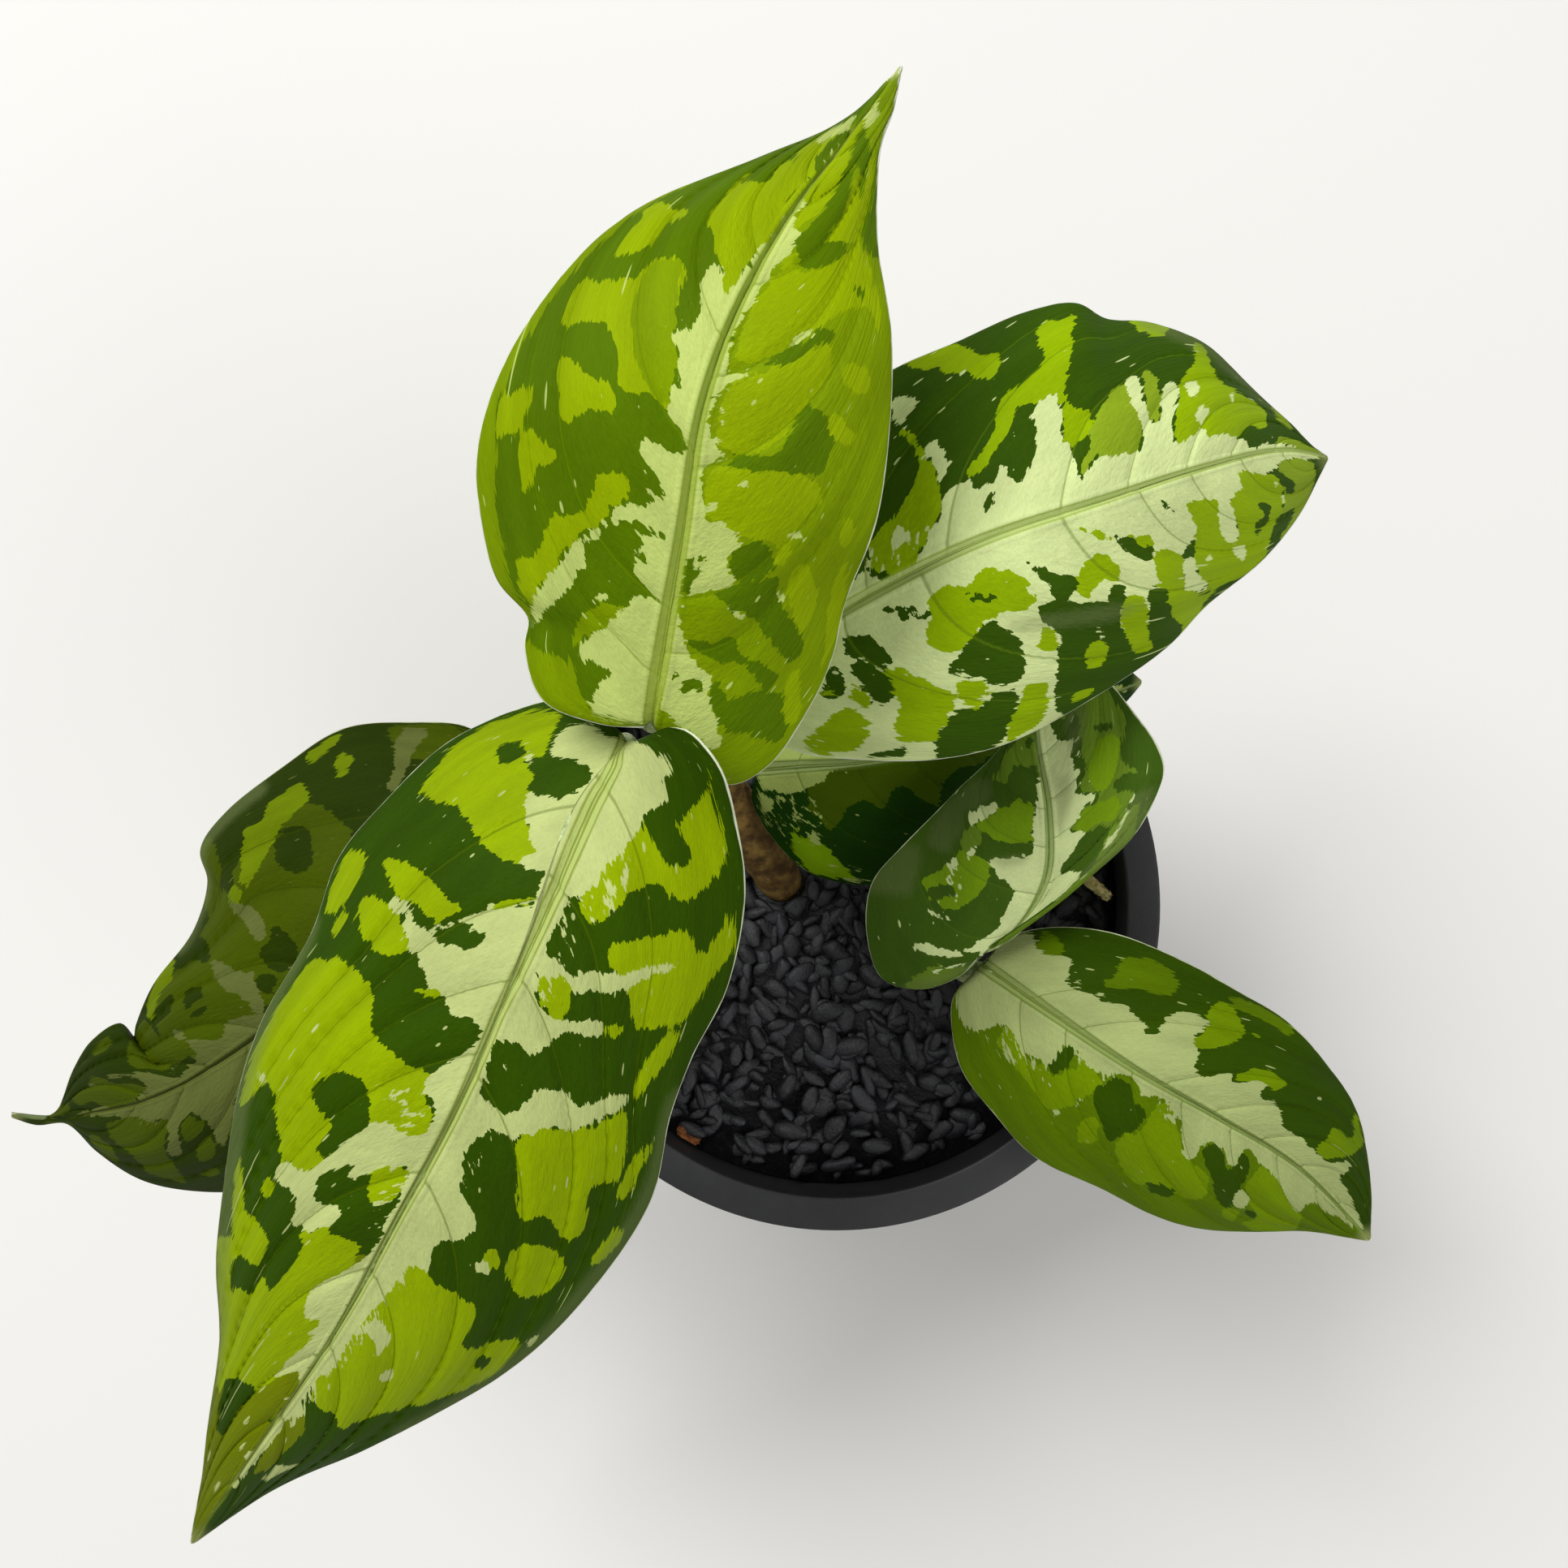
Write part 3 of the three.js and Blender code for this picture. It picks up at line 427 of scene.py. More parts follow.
# The camouflage marks, traced from the photograph: tone, then the patch's outline as points (t, v), both in
# hundredths, t along the midrib from the base, and v from the midrib to the left margin, or to the right as a
# negative. Later patches lie over earlier ones.
MARKINGS = {
    "leaf_top": (
        ("mid", (-2, 110), (-2, 60), (2, 70), (3, 62), (5, 61), (6.6, 62), (7, 90), (8, 108)),
        ("mid", (8, 110), (9, 92), (12, 89), (24, 89), (26, 94), (60, 95), (60, 110)),
        ("mid", (7.5, 64), (8.5, 66), (10, 57), (12, 46), (13.3, 36), (14, 20), (12.5, 19), (11, 32),
         (8.8, 55)),
        ("lime", (10, 87), (12, 86), (15, 80), (15.5, 71), (17, 67), (20, 60), (21, 52), (22, 43),
         (25, 43), (26.5, 42), (28, 27), (26.5, 25), (24.5, 32), (22, 35), (18.5, 51), (15, 61), (13, 72)),
        ("lime", (24, 92), (28, 95), (29, 88), (31, 82), (29, 79), (26, 82)),
        ("lime", (20.5, 76), (23, 77), (25.5, 81), (27.2, 75), (26, 70), (26.3, 60), (25, 61), (24, 70),
         (21.5, 70)),
        ("lime", (29, 65), (31.5, 68), (32, 72), (34.5, 76), (35, 68), (34.3, 58), (35, 50), (34.8, 42),
         (33, 40), (31, 55), (29.5, 58)),
        ("lime", (36.5, 83), (40, 88), (42.5, 88), (42.8, 80), (45.5, 64), (48.8, 61), (49, 56),
         (51.3, 47), (50, 40), (45.5, 32), (43, 25), (40, 18), (37, 17), (36.8, 30), (35, 44), (38.5, 48),
         (40, 60), (39, 72)),
        ("mid", (37, 16), (37, 28), (38.5, 38), (40, 47), (42.5, 56), (45, 60), (48.8, 61), (51.3, 47),
         (47, 36), (45, 28), (42, 20)),
        ("lime", (46, 83), (48, 86), (51.8, 88), (52, 94), (55, 93), (55, 80), (56, 70), (53, 73),
         (49, 69), (46.7, 79)),
        ("lime", (51, 9), (52, 17), (53.5, 20), (54, 30), (56.3, 42), (56, 50), (57.5, 58), (61, 64),
         (62, 70), (66, 79), (66.5, 74), (63.5, 66), (66, 58), (66.5, 50), (68, 50), (69.5, 68), (71, 56),
         (72, 54), (74, 66), (80, 75), (84, 60), (80, 40), (74, 33), (74, 12), (68, 3), (60, 4)),
        ("dark", (73.5, 11), (74, 25), (77, 37), (79, 41), (81, 25), (80.5, 12)),
        ("pale", (76.5, 60), (77, 68), (81, 75), (84, 60), (85.5, 40), (83, 28), (81, 32), (79, 43)),
        ("pale", (-2, 0), (-1, 40), (2, 75), (3, 60), (4.5, 50), (6, 33), (6.6, 42), (6.8, 56), (7.5, 60),
         (8.5, 55), (11, 34), (14, 22), (15.8, 18), (16, 12), (15.5, 0)),
        ("pale", (8, 95), (9.5, 93), (10, 87), (12, 77), (13.5, 67), (17, 52), (18.5, 50), (20, 42),
         (22, 34), (24, 31), (25, 24), (27.5, 9), (29, 10), (30, 22), (32, 28), (33, 15), (33.7, 0),
         (16, 0), (17.5, 18), (19, 20), (20, 14), (21.5, 17), (23, 15), (23.7, 6), (24.3, 9), (23.5, 26),
         (20, 39), (18.3, 45), (17, 44), (14, 52), (12, 62), (10, 82)),
        ("pale", (35, 0), (36.5, 15), (39, 18), (40.5, 14), (41.5, 20), (43, 20), (43.5, 29), (45, 27),
         (45.5, 20), (47.5, 20), (50, 28), (53, 30), (53.7, 25), (51.7, 17), (51.5, 9), (56, 8), (60, 6),
         (61, 3), (63, 7), (65, 3), (69, 5), (75, 8), (78, 12), (83, 10), (88, 0)),
        ("mid", (-2, -3), (-2, -110), (110, -110), (110, 0), (18, -4), (8, -6)),
        ("pale", (3, -8), (3.5, -20), (4.2, -40), (4.6, -60), (5.2, -68), (6.2, -57), (7.5, -40),
         (8.5, -35), (10, -36), (10.3, -28), (11, -15), (15, -6), (18, -1), (8, 0)),
        ("dark", (6.5, -9), (7, -20), (8, -31), (9, -30), (8.5, -20), (8.8, -9)),
        ("dark", (7.5, -41), (9.5, -36), (10, -44), (9, -50), (10, -55), (12, -72), (12, -80), (9.5, -95),
         (8.5, -95), (7.8, -80), (7.3, -66), (6.3, -65), (7, -50)),
        ("dark", (12, -15), (13, -14), (13.5, -25), (15.5, -40), (13.5, -47), (14, -70), (12, -74),
         (11.5, -66), (13, -55), (12.5, -42), (11.8, -36)),
        ("dark", (19, -22), (20.5, -32), (21, -40), (23.5, -56), (20, -62), (18, -76), (17, -81),
         (15, -79), (15, -70), (17.5, -52), (18.5, -33)),
        ("dark", (21.5, -32), (24, -26), (26.8, -44), (25, -51), (23.5, -56), (21.2, -40)),
        ("lime", (27.5, -10), (33, -8), (34, -20), (33.5, -33), (34.5, -42), (34.2, -58), (32.5, -70),
         (30, -62), (28.5, -57), (26, -61), (23.5, -56), (26.8, -48), (26.3, -34)),
        ("lime", (35.2, -20), (36, -10), (42, -9), (44, -25), (47.5, -50), (49, -63), (44, -60), (40, -48),
         (36, -38)),
        ("dark", (33.5, -30), (34.3, -17), (35, -28), (36, -43), (42, -53), (41, -64), (38, -70),
         (34.5, -65), (34, -55)),
        ("lime", (45, -9), (50, -9), (60, -20), (57, -30), (56.5, -40), (59, -60), (62, -80), (60, -88),
         (54, -93), (49, -92), (53, -87), (53.5, -75), (50.5, -55), (46, -28)),
        ("dark", (44.7, -26), (47.5, -36), (48.5, -50), (50, -53), (50.5, -60), (49, -65), (48.5, -57),
         (45.5, -38)),
        ("lime", (63, -12), (66, -9), (72, 0), (80, 0), (88, -8), (86, -24), (78, -35), (74, -43),
         (68, -39), (64.5, -26)),
        ("lime", (62, -50), (66, -61), (72, -62), (71, -70), (68, -76), (74, -80), (76, -87), (72, -90),
         (65, -82), (62, -78), (61, -55)),
        ("dark", (57, -30), (58.5, -30), (59, -25), (63, -25), (65.5, -35), (68, -40), (72, -40),
         (74, -44), (80, -33), (83, -28), (81, -45), (79, -70), (74, -80), (70, -79), (68.5, -75),
         (71.5, -74), (75, -60), (73, -56), (66, -61), (62.5, -48), (61, -48), (61.8, -66), (60, -69),
         (57.5, -48)),
        ("dark", (60.5, -86), (64, -82), (67, -88), (75, -92), (76, -100), (60, -98)),
        ("dark", (54, -80), (55, -73), (56.3, -76), (55.5, -84)),
        ("lime", (37.8, -72), (40, -64), (41.5, -68), (40, -76), (39.8, -83), (38.2, -80)),
        ("lime", (44, -72), (45.5, -67), (47.2, -72), (46.5, -87), (43.6, -87)),
        ("lime", (27.5, -84), (29, -80), (31, -82), (30.5, -88), (28, -90)),
        ("lime", (18, -74), (20, -69), (21.5, -63), (24, -63), (25, -70), (23.5, -78), (21, -84),
         (18.5, -80)),
        ("lime", (10, -98), (10, -88), (13, -77), (15, -80), (12, -93)),
        ("lime", (15, -95), (20, -90), (25, -88), (27, -93), (22, -98)),
        ("pale", (17, 0), (19, -15), (21, -36), (22, -28), (24, -26), (25.5, -34), (27.5, -20),
         (27.5, -10), (33, -5), (35.2, -18), (35.6, -9), (38, -6), (42, -5), (44.6, -26), (43.6, -7),
         (48, -5), (57, -12), (62, -26), (63.3, -12), (67, -8), (72, 0)),
        ("dark", (17.8, -4), (22.5, -5), (23.5, -13), (22.5, -20), (20.5, -10), (18.5, -8)),
        ("pale", (47.5, -36), (49, -39), (50, -52), (48.2, -44)),
        ("pale", (27, -60), (27.5, -53), (28.5, -60), (27.5, -66)),
        ("pale", (20.2, -62), (21, -58), (21.6, -61), (20.6, -65)),
        ("pale", (17, -42), (17.8, -33), (18.7, -35), (18, -42)),
        ("pale", (31, -27), (32, -24), (32.8, -28), (31.8, -31)),
        ("pale", (82, -34), (86, -10), (92, -8), (88, -30), (86, -58), (83.5, -44)),
        ("pale", (13, 41), (13.8, 41), (14.6, 35), (14.2, 31)),
        ("pale", (-2, 6), (10, 6), (16, 5), (22, 6), (30, 5), (33.5, 4), (35, 5), (45, 5), (60, 3),
         (75, 4), (92, 1), (92, -1), (70, -2), (45, -4), (35, -4), (33, -2.5), (25, -3), (18, -3),
         (15, -4), (8, -4), (-2, -4)),
        ("fray", (17, -3), (18, -12), (24, -18), (24, -5)),
        ("fray", (19, 22), (20, 13), (25, 10), (24.5, 24), (21, 24)),
        ("fray", (26, 10), (26.5, 22), (29.5, 24), (29.5, 12)),
        ("fray", (27.5, -5), (27.5, -16), (33, -12), (33, -4)),
        ("fray", (36, -5), (36, -14), (44, -14), (44, -6)),
        ("fray", (7, -6), (7, -26), (9.5, -26), (9.5, -6)),
        ("fray", (45, 18), (45, 30), (54, 30), (54, 18)),
    ),
    "leaf_front": (
        ("lime", (3, 95), (4.5, 85), (7, 93), (9.5, 80), (11.2, 64), (10, 55), (11.5, 40), (14, 33),
         (15, 28), (14, 15), (10.5, 20), (6.5, 33), (8, 50), (9, 65), (7.5, 67), (6.2, 60), (4.8, 80)),
        ("lime", (11, 96), (12.5, 98), (14, 90), (18, 87), (19, 75), (20, 66), (18.5, 60), (17, 45),
         (15.5, 35), (14, 55), (12, 72), (13.8, 82), (10, 93)),
        ("lime", (18, 88), (20, 89), (24.5, 79), (23.5, 76), (20.5, 78), (19, 82)),
        ("lime", (26, 93), (27.5, 93), (29, 88), (31, 90), (32.5, 82), (29, 82)),
        ("lime", (19.8, 62), (21, 60), (21.5, 53), (20.5, 52)),
        ("lime", (25, 77), (28, 80), (31, 80), (32.5, 68), (35, 76), (37, 77), (37.5, 68), (36, 60),
         (38.5, 50), (35, 36), (32, 30), (30, 43), (28.5, 58)),
        ("lime", (34, 95), (35.5, 96), (38, 93), (38, 88), (34, 90)),
        ("lime", (39, 80), (40, 83), (42, 83), (43.7, 77), (44, 68), (43, 60), (41, 55), (39.5, 58),
         (38.5, 68)),
        ("lime", (41.5, 52), (43, 57), (43.2, 46), (42, 45)),
        ("lime", (47.5, 20), (48, 35), (47, 60), (52, 67), (51, 75), (49, 78), (47, 90), (52, 96),
         (56, 93), (60, 85), (63.5, 73), (69.5, 60), (68, 48), (69, 30), (68, 8), (57.5, 8), (50, 10),
         (47.5, 12)),
        ("dark", (50.7, 87), (52.5, 87), (53, 83), (51.5, 78)),
        ("mid", (68.5, 12), (71, 24), (72.5, 38), (80, 42), (83, 30), (79, 15), (73, 12)),
        ("pale", (-1, 5), (0, 35), (2, 45), (2.8, 60), (3.5, 62), (4, 50), (5, 58), (6, 42), (7.5, 38),
         (9, 33), (10, 26), (13, 20), (14, 12), (14, 0)),
        ("fray", (7, 30), (10, 32), (12.5, 35), (14.5, 30), (14, 15), (10, 20)),
        ("dark", (6.2, 40), (6.5, 55), (7.5, 70), (9, 67), (9, 55), (8, 47)),
        ("pale", (14.3, 74), (15, 72), (16, 62), (17.3, 55), (18.5, 48), (18.9, 40), (19.9, 33),
         (20.2, 26), (20, 4), (18.5, 4), (18.6, 18), (19, 26), (18, 32), (17.6, 40), (17, 50), (15.8, 57),
         (14.8, 67)),
        ("fray", (13, 8), (14.5, 20), (18.8, 26), (18.5, 8)),
        ("pale", (20, 0), (20, 14), (22, 12), (22.4, 24), (21.8, 36), (21, 44), (20.4, 52), (21.5, 52),
         (22.1, 46), (22.4, 38), (23, 31), (25, 28), (26, 20), (26, 10), (27, 0)),
        ("lime", (19.5, 28), (20.5, 33), (22, 32), (22.4, 24), (22, 14), (20.5, 12), (19.5, 20)),
        ("fray", (19.3, 12), (19.5, 26), (22.2, 24), (22.2, 10)),
        ("pale", (24.2, 76), (25.6, 72), (27, 63), (28.6, 56), (29.6, 50), (29.8, 42), (31, 37), (32, 32),
         (33, 30), (32.8, 22), (33.2, 14), (33, 0), (31.4, 0), (31.8, 18), (31.4, 22), (30, 26),
         (28.3, 28), (27.5, 36), (26.8, 44), (27.5, 50), (25.6, 62), (24.2, 71)),
        ("dark", (26, 12), (26.4, 24), (28, 30), (30, 27), (31.4, 22), (31.8, 17), (30.5, 8), (28.5, 4),
         (26.8, 5)),
        ("fray", (26.3, 2), (26.3, 14), (30.5, 12), (30.5, 3)),
        ("pale", (43.2, 53), (44.2, 53), (44.3, 43), (43.3, 44)),
        ("pale", (33, 0), (33, 20), (36, 12), (39.5, 20), (40, 35), (42.5, 35), (45, 23), (48, 30),
         (47.5, 20), (55, 15), (60, 15), (64, 18), (66, 10), (70, 12), (70, 22), (74, 23), (72, 12),
         (80, 15), (85, 15), (90, 0)),
        ("fray", (33.2, 8), (33.4, 24), (36, 22), (39.6, 24), (39.6, 12), (36, 8)),
        ("fray", (47.5, 12), (47.5, 22), (56, 22), (56, 12)),
        ("pale", (46, 93), (47, 96), (48, 94), (47.5, 90)),
        ("pale", (55.5, 18), (55.3, 28), (56.5, 36), (58.8, 36), (57.3, 25), (58, 15)),
        ("pale", (58.5, 49), (59.5, 55), (60.5, 55), (61.2, 47), (60, 45)),
        ("pale", (77, 68), (77.5, 72), (80, 65), (83, 60), (83, 50), (80, 45), (78, 63)),
        ("mid", (50, -2), (50, -100), (110, -105), (110, -2)),
        ("lime", (46, -10), (48, -45), (50, -63), (50, -98), (70, -95), (72, -60), (66, -12), (56, -10)),
        ("lime", (2.5, -90), (2.2, -70), (4.2, -45), (6.5, -33), (9, -25), (11, -8), (12.5, -10),
         (12.7, -30), (10.3, -55), (10, -70), (11, -85), (7.5, -90), (5, -95)),
        ("dark", (13.2, -2), (14.5, -3), (16, -20), (17, -28), (14.5, -65), (14, -78), (13, -90),
         (10, -93), (10.3, -55), (12.8, -33)),
        ("lime", (15, -3), (15.5, -2), (17, -25), (16, -20)),
        ("lime", (17, -30), (18, -36), (18.6, -41), (17.8, -46), (17.6, -55), (17.2, -64), (16.4, -68),
         (15.6, -73), (14.8, -80), (14.8, -60), (15.8, -48), (16.5, -40)),
        ("lime", (18.2, -58), (19, -56), (20, -50), (21, -48), (21.5, -56), (21.7, -62), (20.8, -68),
         (20.2, -75), (19, -78), (18, -80), (17.6, -74), (17.8, -66)),
        ("lime", (14.8, -84), (17.5, -84), (19.4, -90), (19.8, -95), (18, -97), (14.8, -95)),
        ("lime", (18.7, -82), (21, -84), (21.3, -88), (20, -90)),
        ("lime", (23.6, -26), (24.3, -28), (24.1, -38), (23.7, -36)),
        ("lime", (22.4, -78), (23.1, -72), (23.2, -66), (24, -58), (25.5, -52), (27.6, -48), (28.6, -43),
         (29.4, -33), (30.3, -29), (30.5, -16), (33, -16), (34, -8), (37, -6), (37, -16), (36, -30),
         (41.5, -50), (41.5, -57), (41, -64), (40.4, -68), (38.4, -71), (36.5, -77), (34, -81), (34, -88),
         (36, -92), (36.8, -97), (32, -97), (27, -94), (23, -92), (23, -85)),
        ("dark", (31.5, -51), (32.2, -42), (33.5, -36), (35.5, -32), (37.5, -35), (39, -41), (40.3, -50),
         (38, -50), (36.8, -47), (35, -57), (34.2, -64), (32.8, -62), (32, -54)),
        ("lime", (42.5, -71), (43.5, -67), (44.8, -67), (45.3, -70), (44.5, -74), (43, -75)),
        ("lime", (47.5, -72), (49, -63), (51, -64), (53, -72), (51.5, -80), (50, -88), (44, -92),
         (41, -90), (44, -86), (46, -84), (47, -80)),
        ("dark", (48, -45), (50.5, -40), (56, -55), (53.5, -62), (57, -70), (55, -80), (57, -85),
         (53, -87), (51.5, -80), (53, -68), (48, -60)),
        ("dark", (68, -63), (69, -44), (71.5, -44), (72, -60), (77, -65), (76.5, -80), (72, -87),
         (68, -83)),
        ("pale", (0, 0), (0, -10), (2, -60), (4.2, -45), (4.5, -30), (3.8, -15), (4.5, 0)),
        ("pale", (5, 2), (7.5, -25), (7.2, -33), (10, -20), (11.5, -8), (12.8, -20), (13.2, 0)),
        ("dark", (4.2, 2), (5, 3), (7, -12), (7.2, -20), (5.5, -50), (4.2, -35), (3.7, -15)),
        ("dark", (4.7, -65), (5.5, -75), (6.8, -55), (5, -52)),
        ("pale", (4.8, -50), (5.5, -43), (5.8, -47), (5.2, -54)),
        ("pale", (15.5, 0), (16.3, -12), (17.2, -26), (18.4, -38), (19.8, -50), (21, -48), (21.7, -40),
         (23.4, -34), (23.8, -25), (25.5, -20), (25.8, -8), (26.6, 0)),
        ("dark", (18, -30), (18.2, -22), (19, -16), (20, -20), (20.2, -28), (19.8, -38), (19.3, -42),
         (18.6, -36)),
        ("fray", (16.4, -8), (18, -10), (18.6, -18), (18, -26), (17, -28), (16.2, -18)),
        ("pale", (19.8, -46), (17.7, -54), (17.2, -65), (18, -66), (18.6, -59), (18.2, -52), (18.8, -57),
         (20, -51)),
        ("pale", (36.5, -2), (36.8, -12), (36, -22), (35.6, -31), (37, -34), (39.5, -44), (41.5, -49),
         (41.3, -58), (40.6, -66), (42, -70), (43.4, -66), (43.4, -57), (44.5, -52), (46.5, -53),
         (47.4, -52), (47.4, -46), (48.2, -42), (47.4, -33), (45.8, -27), (44.7, -30), (44.9, -40),
         (43.5, -45), (41.5, -43), (40.5, -37), (40.2, -31), (42.1, -31), (41.9, -28), (40.8, -22),
         (39.9, -16), (40, -5), (42, -2)),
        ("dark", (40.9, -24), (43, -18), (45, -13), (47, -7), (48.5, -4), (49.7, -8), (48.6, -16),
         (48, -28), (47, -32), (45.7, -27), (44.7, -30), (44.8, -40), (43.6, -45), (42, -45), (40.9, -40),
         (40.2, -34), (40.3, -31), (42.2, -31), (42, -28)),
        ("lime", (39.8, -14), (40.5, -6), (42.5, -3), (44.5, -8), (44.8, -14), (43, -18), (41, -22),
         (40.2, -18)),
        ("pale", (26.5, 0), (27.8, -3), (29, -6), (30.4, -13), (31.6, -18), (32.6, -16), (33.2, -9),
         (35, -6), (37, -6), (42, -2), (50, -3), (52, -10), (54.5, -27), (57, -30), (59, -25), (58.5, -15),
         (62, -12), (65, -28), (68, -31), (66, -10), (69, 0)),
        ("fray", (31.5, -13), (33, -8), (37, -4), (37.2, -12), (36, -30), (33, -30)),
        ("fray", (39.6, -4), (44.6, -2), (44.8, -12), (40, -14)),
        ("fray", (46.5, -1), (46.5, -10), (49.8, -9), (49.8, -1)),
        ("pale", (27.8, -71), (28.8, -74), (28.7, -72)),
        ("pale", (29.2, -76), (30, -78), (29.8, -76)),
        ("pale", (32.7, -90), (33.6, -86), (34, -88), (33.6, -91)),
        ("pale", (37.9, -73), (38.6, -72), (38.5, -75)),
        ("pale", (12, -45), (12.2, -49), (12.5, -46)),
        ("pale", (73, -35), (74, -36), (75, -40), (74, -41)),
        ("pale", (60, -48), (61, -47), (62, -52), (61, -53)),
        ("pale", (78, -22), (80, -24), (80, -28), (78, -26)),
        ("pale", (80, -82), (82, -81), (82, -86), (80, -85)),
        ("pale", (79.5, 8), (80, -10), (81, -10), (81.5, 2)),
        ("pale", (86, -34), (88, -38), (87, -44), (85, -40)),
        ("pale", (-2, 12), (5, 17), (10, 14), (14, 11), (18, 11), (22, 10), (26, 7), (28, 5), (31, 6),
         (33, 10), (40, 10), (50, 9), (70, 8), (92, 1), (92, -1), (70, -1), (50, -3), (40, -3), (34, -6),
         (31, -9), (28, -3), (20, -4), (15, -2), (12, -3), (6, 0), (4.5, 2), (3, -4), (-2, -4)),
        ("fray", (5, 34), (12, 38), (14.8, 30), (14, 16), (10, 20)),
        ("fray", (20, 20), (21, 30), (22.5, 22), (21.5, 12)),
        ("fray", (26.5, 8), (28, 16), (30.5, 12), (29, 5)),
        ("fray", (33, 10), (33, 20), (38, 24), (40, 18), (37, 12)),
        ("fray", (16.5, -8), (18, -30), (19.5, -20), (18, -6)),
        ("fray", (40, -5), (41, -15), (45.5, -12), (46, -5), (43, -2)),
        ("fray", (46.5, -2), (47, -12), (50, -9), (50, -3)),
        ("fray", (50, 10), (50, 24), (58, 22), (70, 24), (70, 12), (60, 10)),
        ("fray", (53, -8), (53, -14), (60, -18), (66, -8), (62, -6)),
    ),
    "leaf_right": (
        ("lime", (14, 20), (17, 29), (18.5, 27), (20, 33), (22, 40), (23, 45), (23, 55), (22.5, 60),
         (21.5, 68), (23, 65), (24, 50), (24.5, 42), (25, 30), (24.5, 20), (22, 12), (19, 3), (16, 3),
         (14, 12)),
        ("lime", (23.5, 102), (25, 93), (27.5, 90), (28, 85), (30, 82), (32, 75), (33, 71), (34.5, 73),
         (35, 83), (32.5, 85), (31.5, 93), (30, 98), (27, 102)),
        ("lime", (39.5, 85), (41, 93), (43, 88), (45, 95), (44, 75), (42.5, 60), (42, 50), (43, 45),
         (45.5, 42), (45.5, 35), (44, 30), (42, 27), (41, 35), (41.5, 45), (41, 52), (40, 55), (38, 50),
         (36, 55), (35, 50), (35, 43), (33, 41), (30, 30), (28, 31), (30, 38), (32.5, 45), (33, 58),
         (35, 63), (38, 64), (40, 68)),
        ("mid", (46, 14), (47.5, 37), (48.5, 50), (49, 55), (51.5, 60), (52, 50), (53.5, 35), (53.5, 25),
         (52, 14), (50, 14)),
        ("mid", (43, 10), (44, 20), (46, 40), (48, 50), (50, 57), (50, 30), (48, 26), (45, 19)),
        ("lime", (59, 18), (60, 45), (60.5, 60), (63, 72), (64, 85), (63.5, 96), (66, 93), (67, 80),
         (68, 72), (72, 72), (80, 75), (81, 60), (81, 45), (80, 40), (75, 30), (74, 20), (66, 18)),
        ("lime", (53, 98), (55, 90), (58, 88), (60, 95), (60, 104)),
        ("mid", (82, 95), (87, 95), (88, 70), (84, 70)),
        ("mid", (84, 36), (90, 50), (105, 60), (105, 0), (84, 10)),
        ("pale", (-2, 0), (-2, 20), (10, 12), (13, 12), (15, 3), (19, 3), (22, 10), (24.5, 20), (25, 28),
         (27, 30), (29, 28), (29, 23), (30, 22), (33, 30), (33.5, 25), (34.5, 17), (37, 27), (37.5, 35),
         (37.5, 48), (40, 55), (41, 52), (41.5, 45), (41, 35), (42, 27), (43, 20), (43, 10), (46, 20),
         (50, 20), (53.5, 20), (54, 33), (52, 45), (51.3, 60), (52, 64), (54, 60), (54, 45), (54.5, 38),
         (56, 32), (57, 36), (57, 52), (58, 58), (60, 60), (60.5, 50), (59, 38), (58.5, 30), (59, 20),
         (60, 18), (62, 22), (65, 30), (66, 22), (70, 25), (74, 22), (76, 12), (77.5, 8), (79, 10),
         (80, 17), (83, 15), (86, 17), (90, 14), (100, 0)),
        ("mid", (54, 60), (55, 65), (56.5, 63), (57, 50), (57, 38), (56, 32), (54.5, 40)),
        ("fray", (10, 3), (13, 18), (16, 24), (20, 20), (22, 14), (19, 4), (15, 2)),
        ("pale", (17.5, 23), (19, 25), (19.5, 18), (18.5, 14), (17, 15)),
        ("pale", (24, 54), (25, 55), (26, 50), (26.8, 43), (25, 33), (24.5, 40)),
        ("pale", (21.5, 75), (22, 83), (22.5, 85), (24, 80), (25, 77), (23, 70), (22, 69)),
        ("pale", (29.7, 82), (30.2, 82), (30.4, 79), (29.8, 79)),
        ("pale", (34.4, 41), (35.2, 41), (35.2, 38), (34.5, 39)),
        ("dark", (29, 13), (31, 20), (32.2, 20), (31.8, 15), (30.5, 12)),
        ("dark", (42.5, 18), (43, 25), (45, 30), (44.5, 22)),
        ("fray", (46, 20), (49, 25), (52, 22), (50, 16), (47, 16)),
        ("pale", (61.5, 60), (63.5, 63), (64.5, 58), (63, 50), (62, 52)),
        ("pale", (63, 38), (64.5, 44), (66.5, 46), (66, 40), (64, 32)),
        ("pale", (70.5, 60), (71.5, 65), (72.5, 63), (72, 55)),
        ("dark", (74.5, 30), (76, 36), (80, 37), (81, 30), (80, 17), (77.5, 8), (75.5, 15)),
        ("pale", (81.5, 32), (82.5, 33), (83, 27), (82, 26)),
        ("pale", (-2, 0), (-2, -60), (6, -100), (34, -100), (42, -99), (48, -80), (55, -60), (60, -45),
         (70, -33), (74, -28), (80, -22), (86, -16), (92, -20), (100, 0)),
        ("lime", (8, -95), (10, -70), (12, -67), (13.5, -75), (14, -83), (13, -92), (10, -98)),
        ("lime", (14.5, -47), (16, -46), (19, -55), (22, -63), (23, -70), (22, -78), (20.5, -90),
         (16.5, -88), (16, -78), (17, -70), (16, -60), (15, -53)),
        ("dark", (8.5, -18), (10, -20), (13, -25), (15, -35), (16.3, -45), (14, -43), (12, -37), (10, -33),
         (9.5, -25)),
        ("dark", (8.5, -35), (10.5, -45), (11, -56), (10.5, -58), (10, -62), (8.5, -62)),
        ("lime", (8.5, -50), (10, -56), (10, -60), (8.7, -56)),
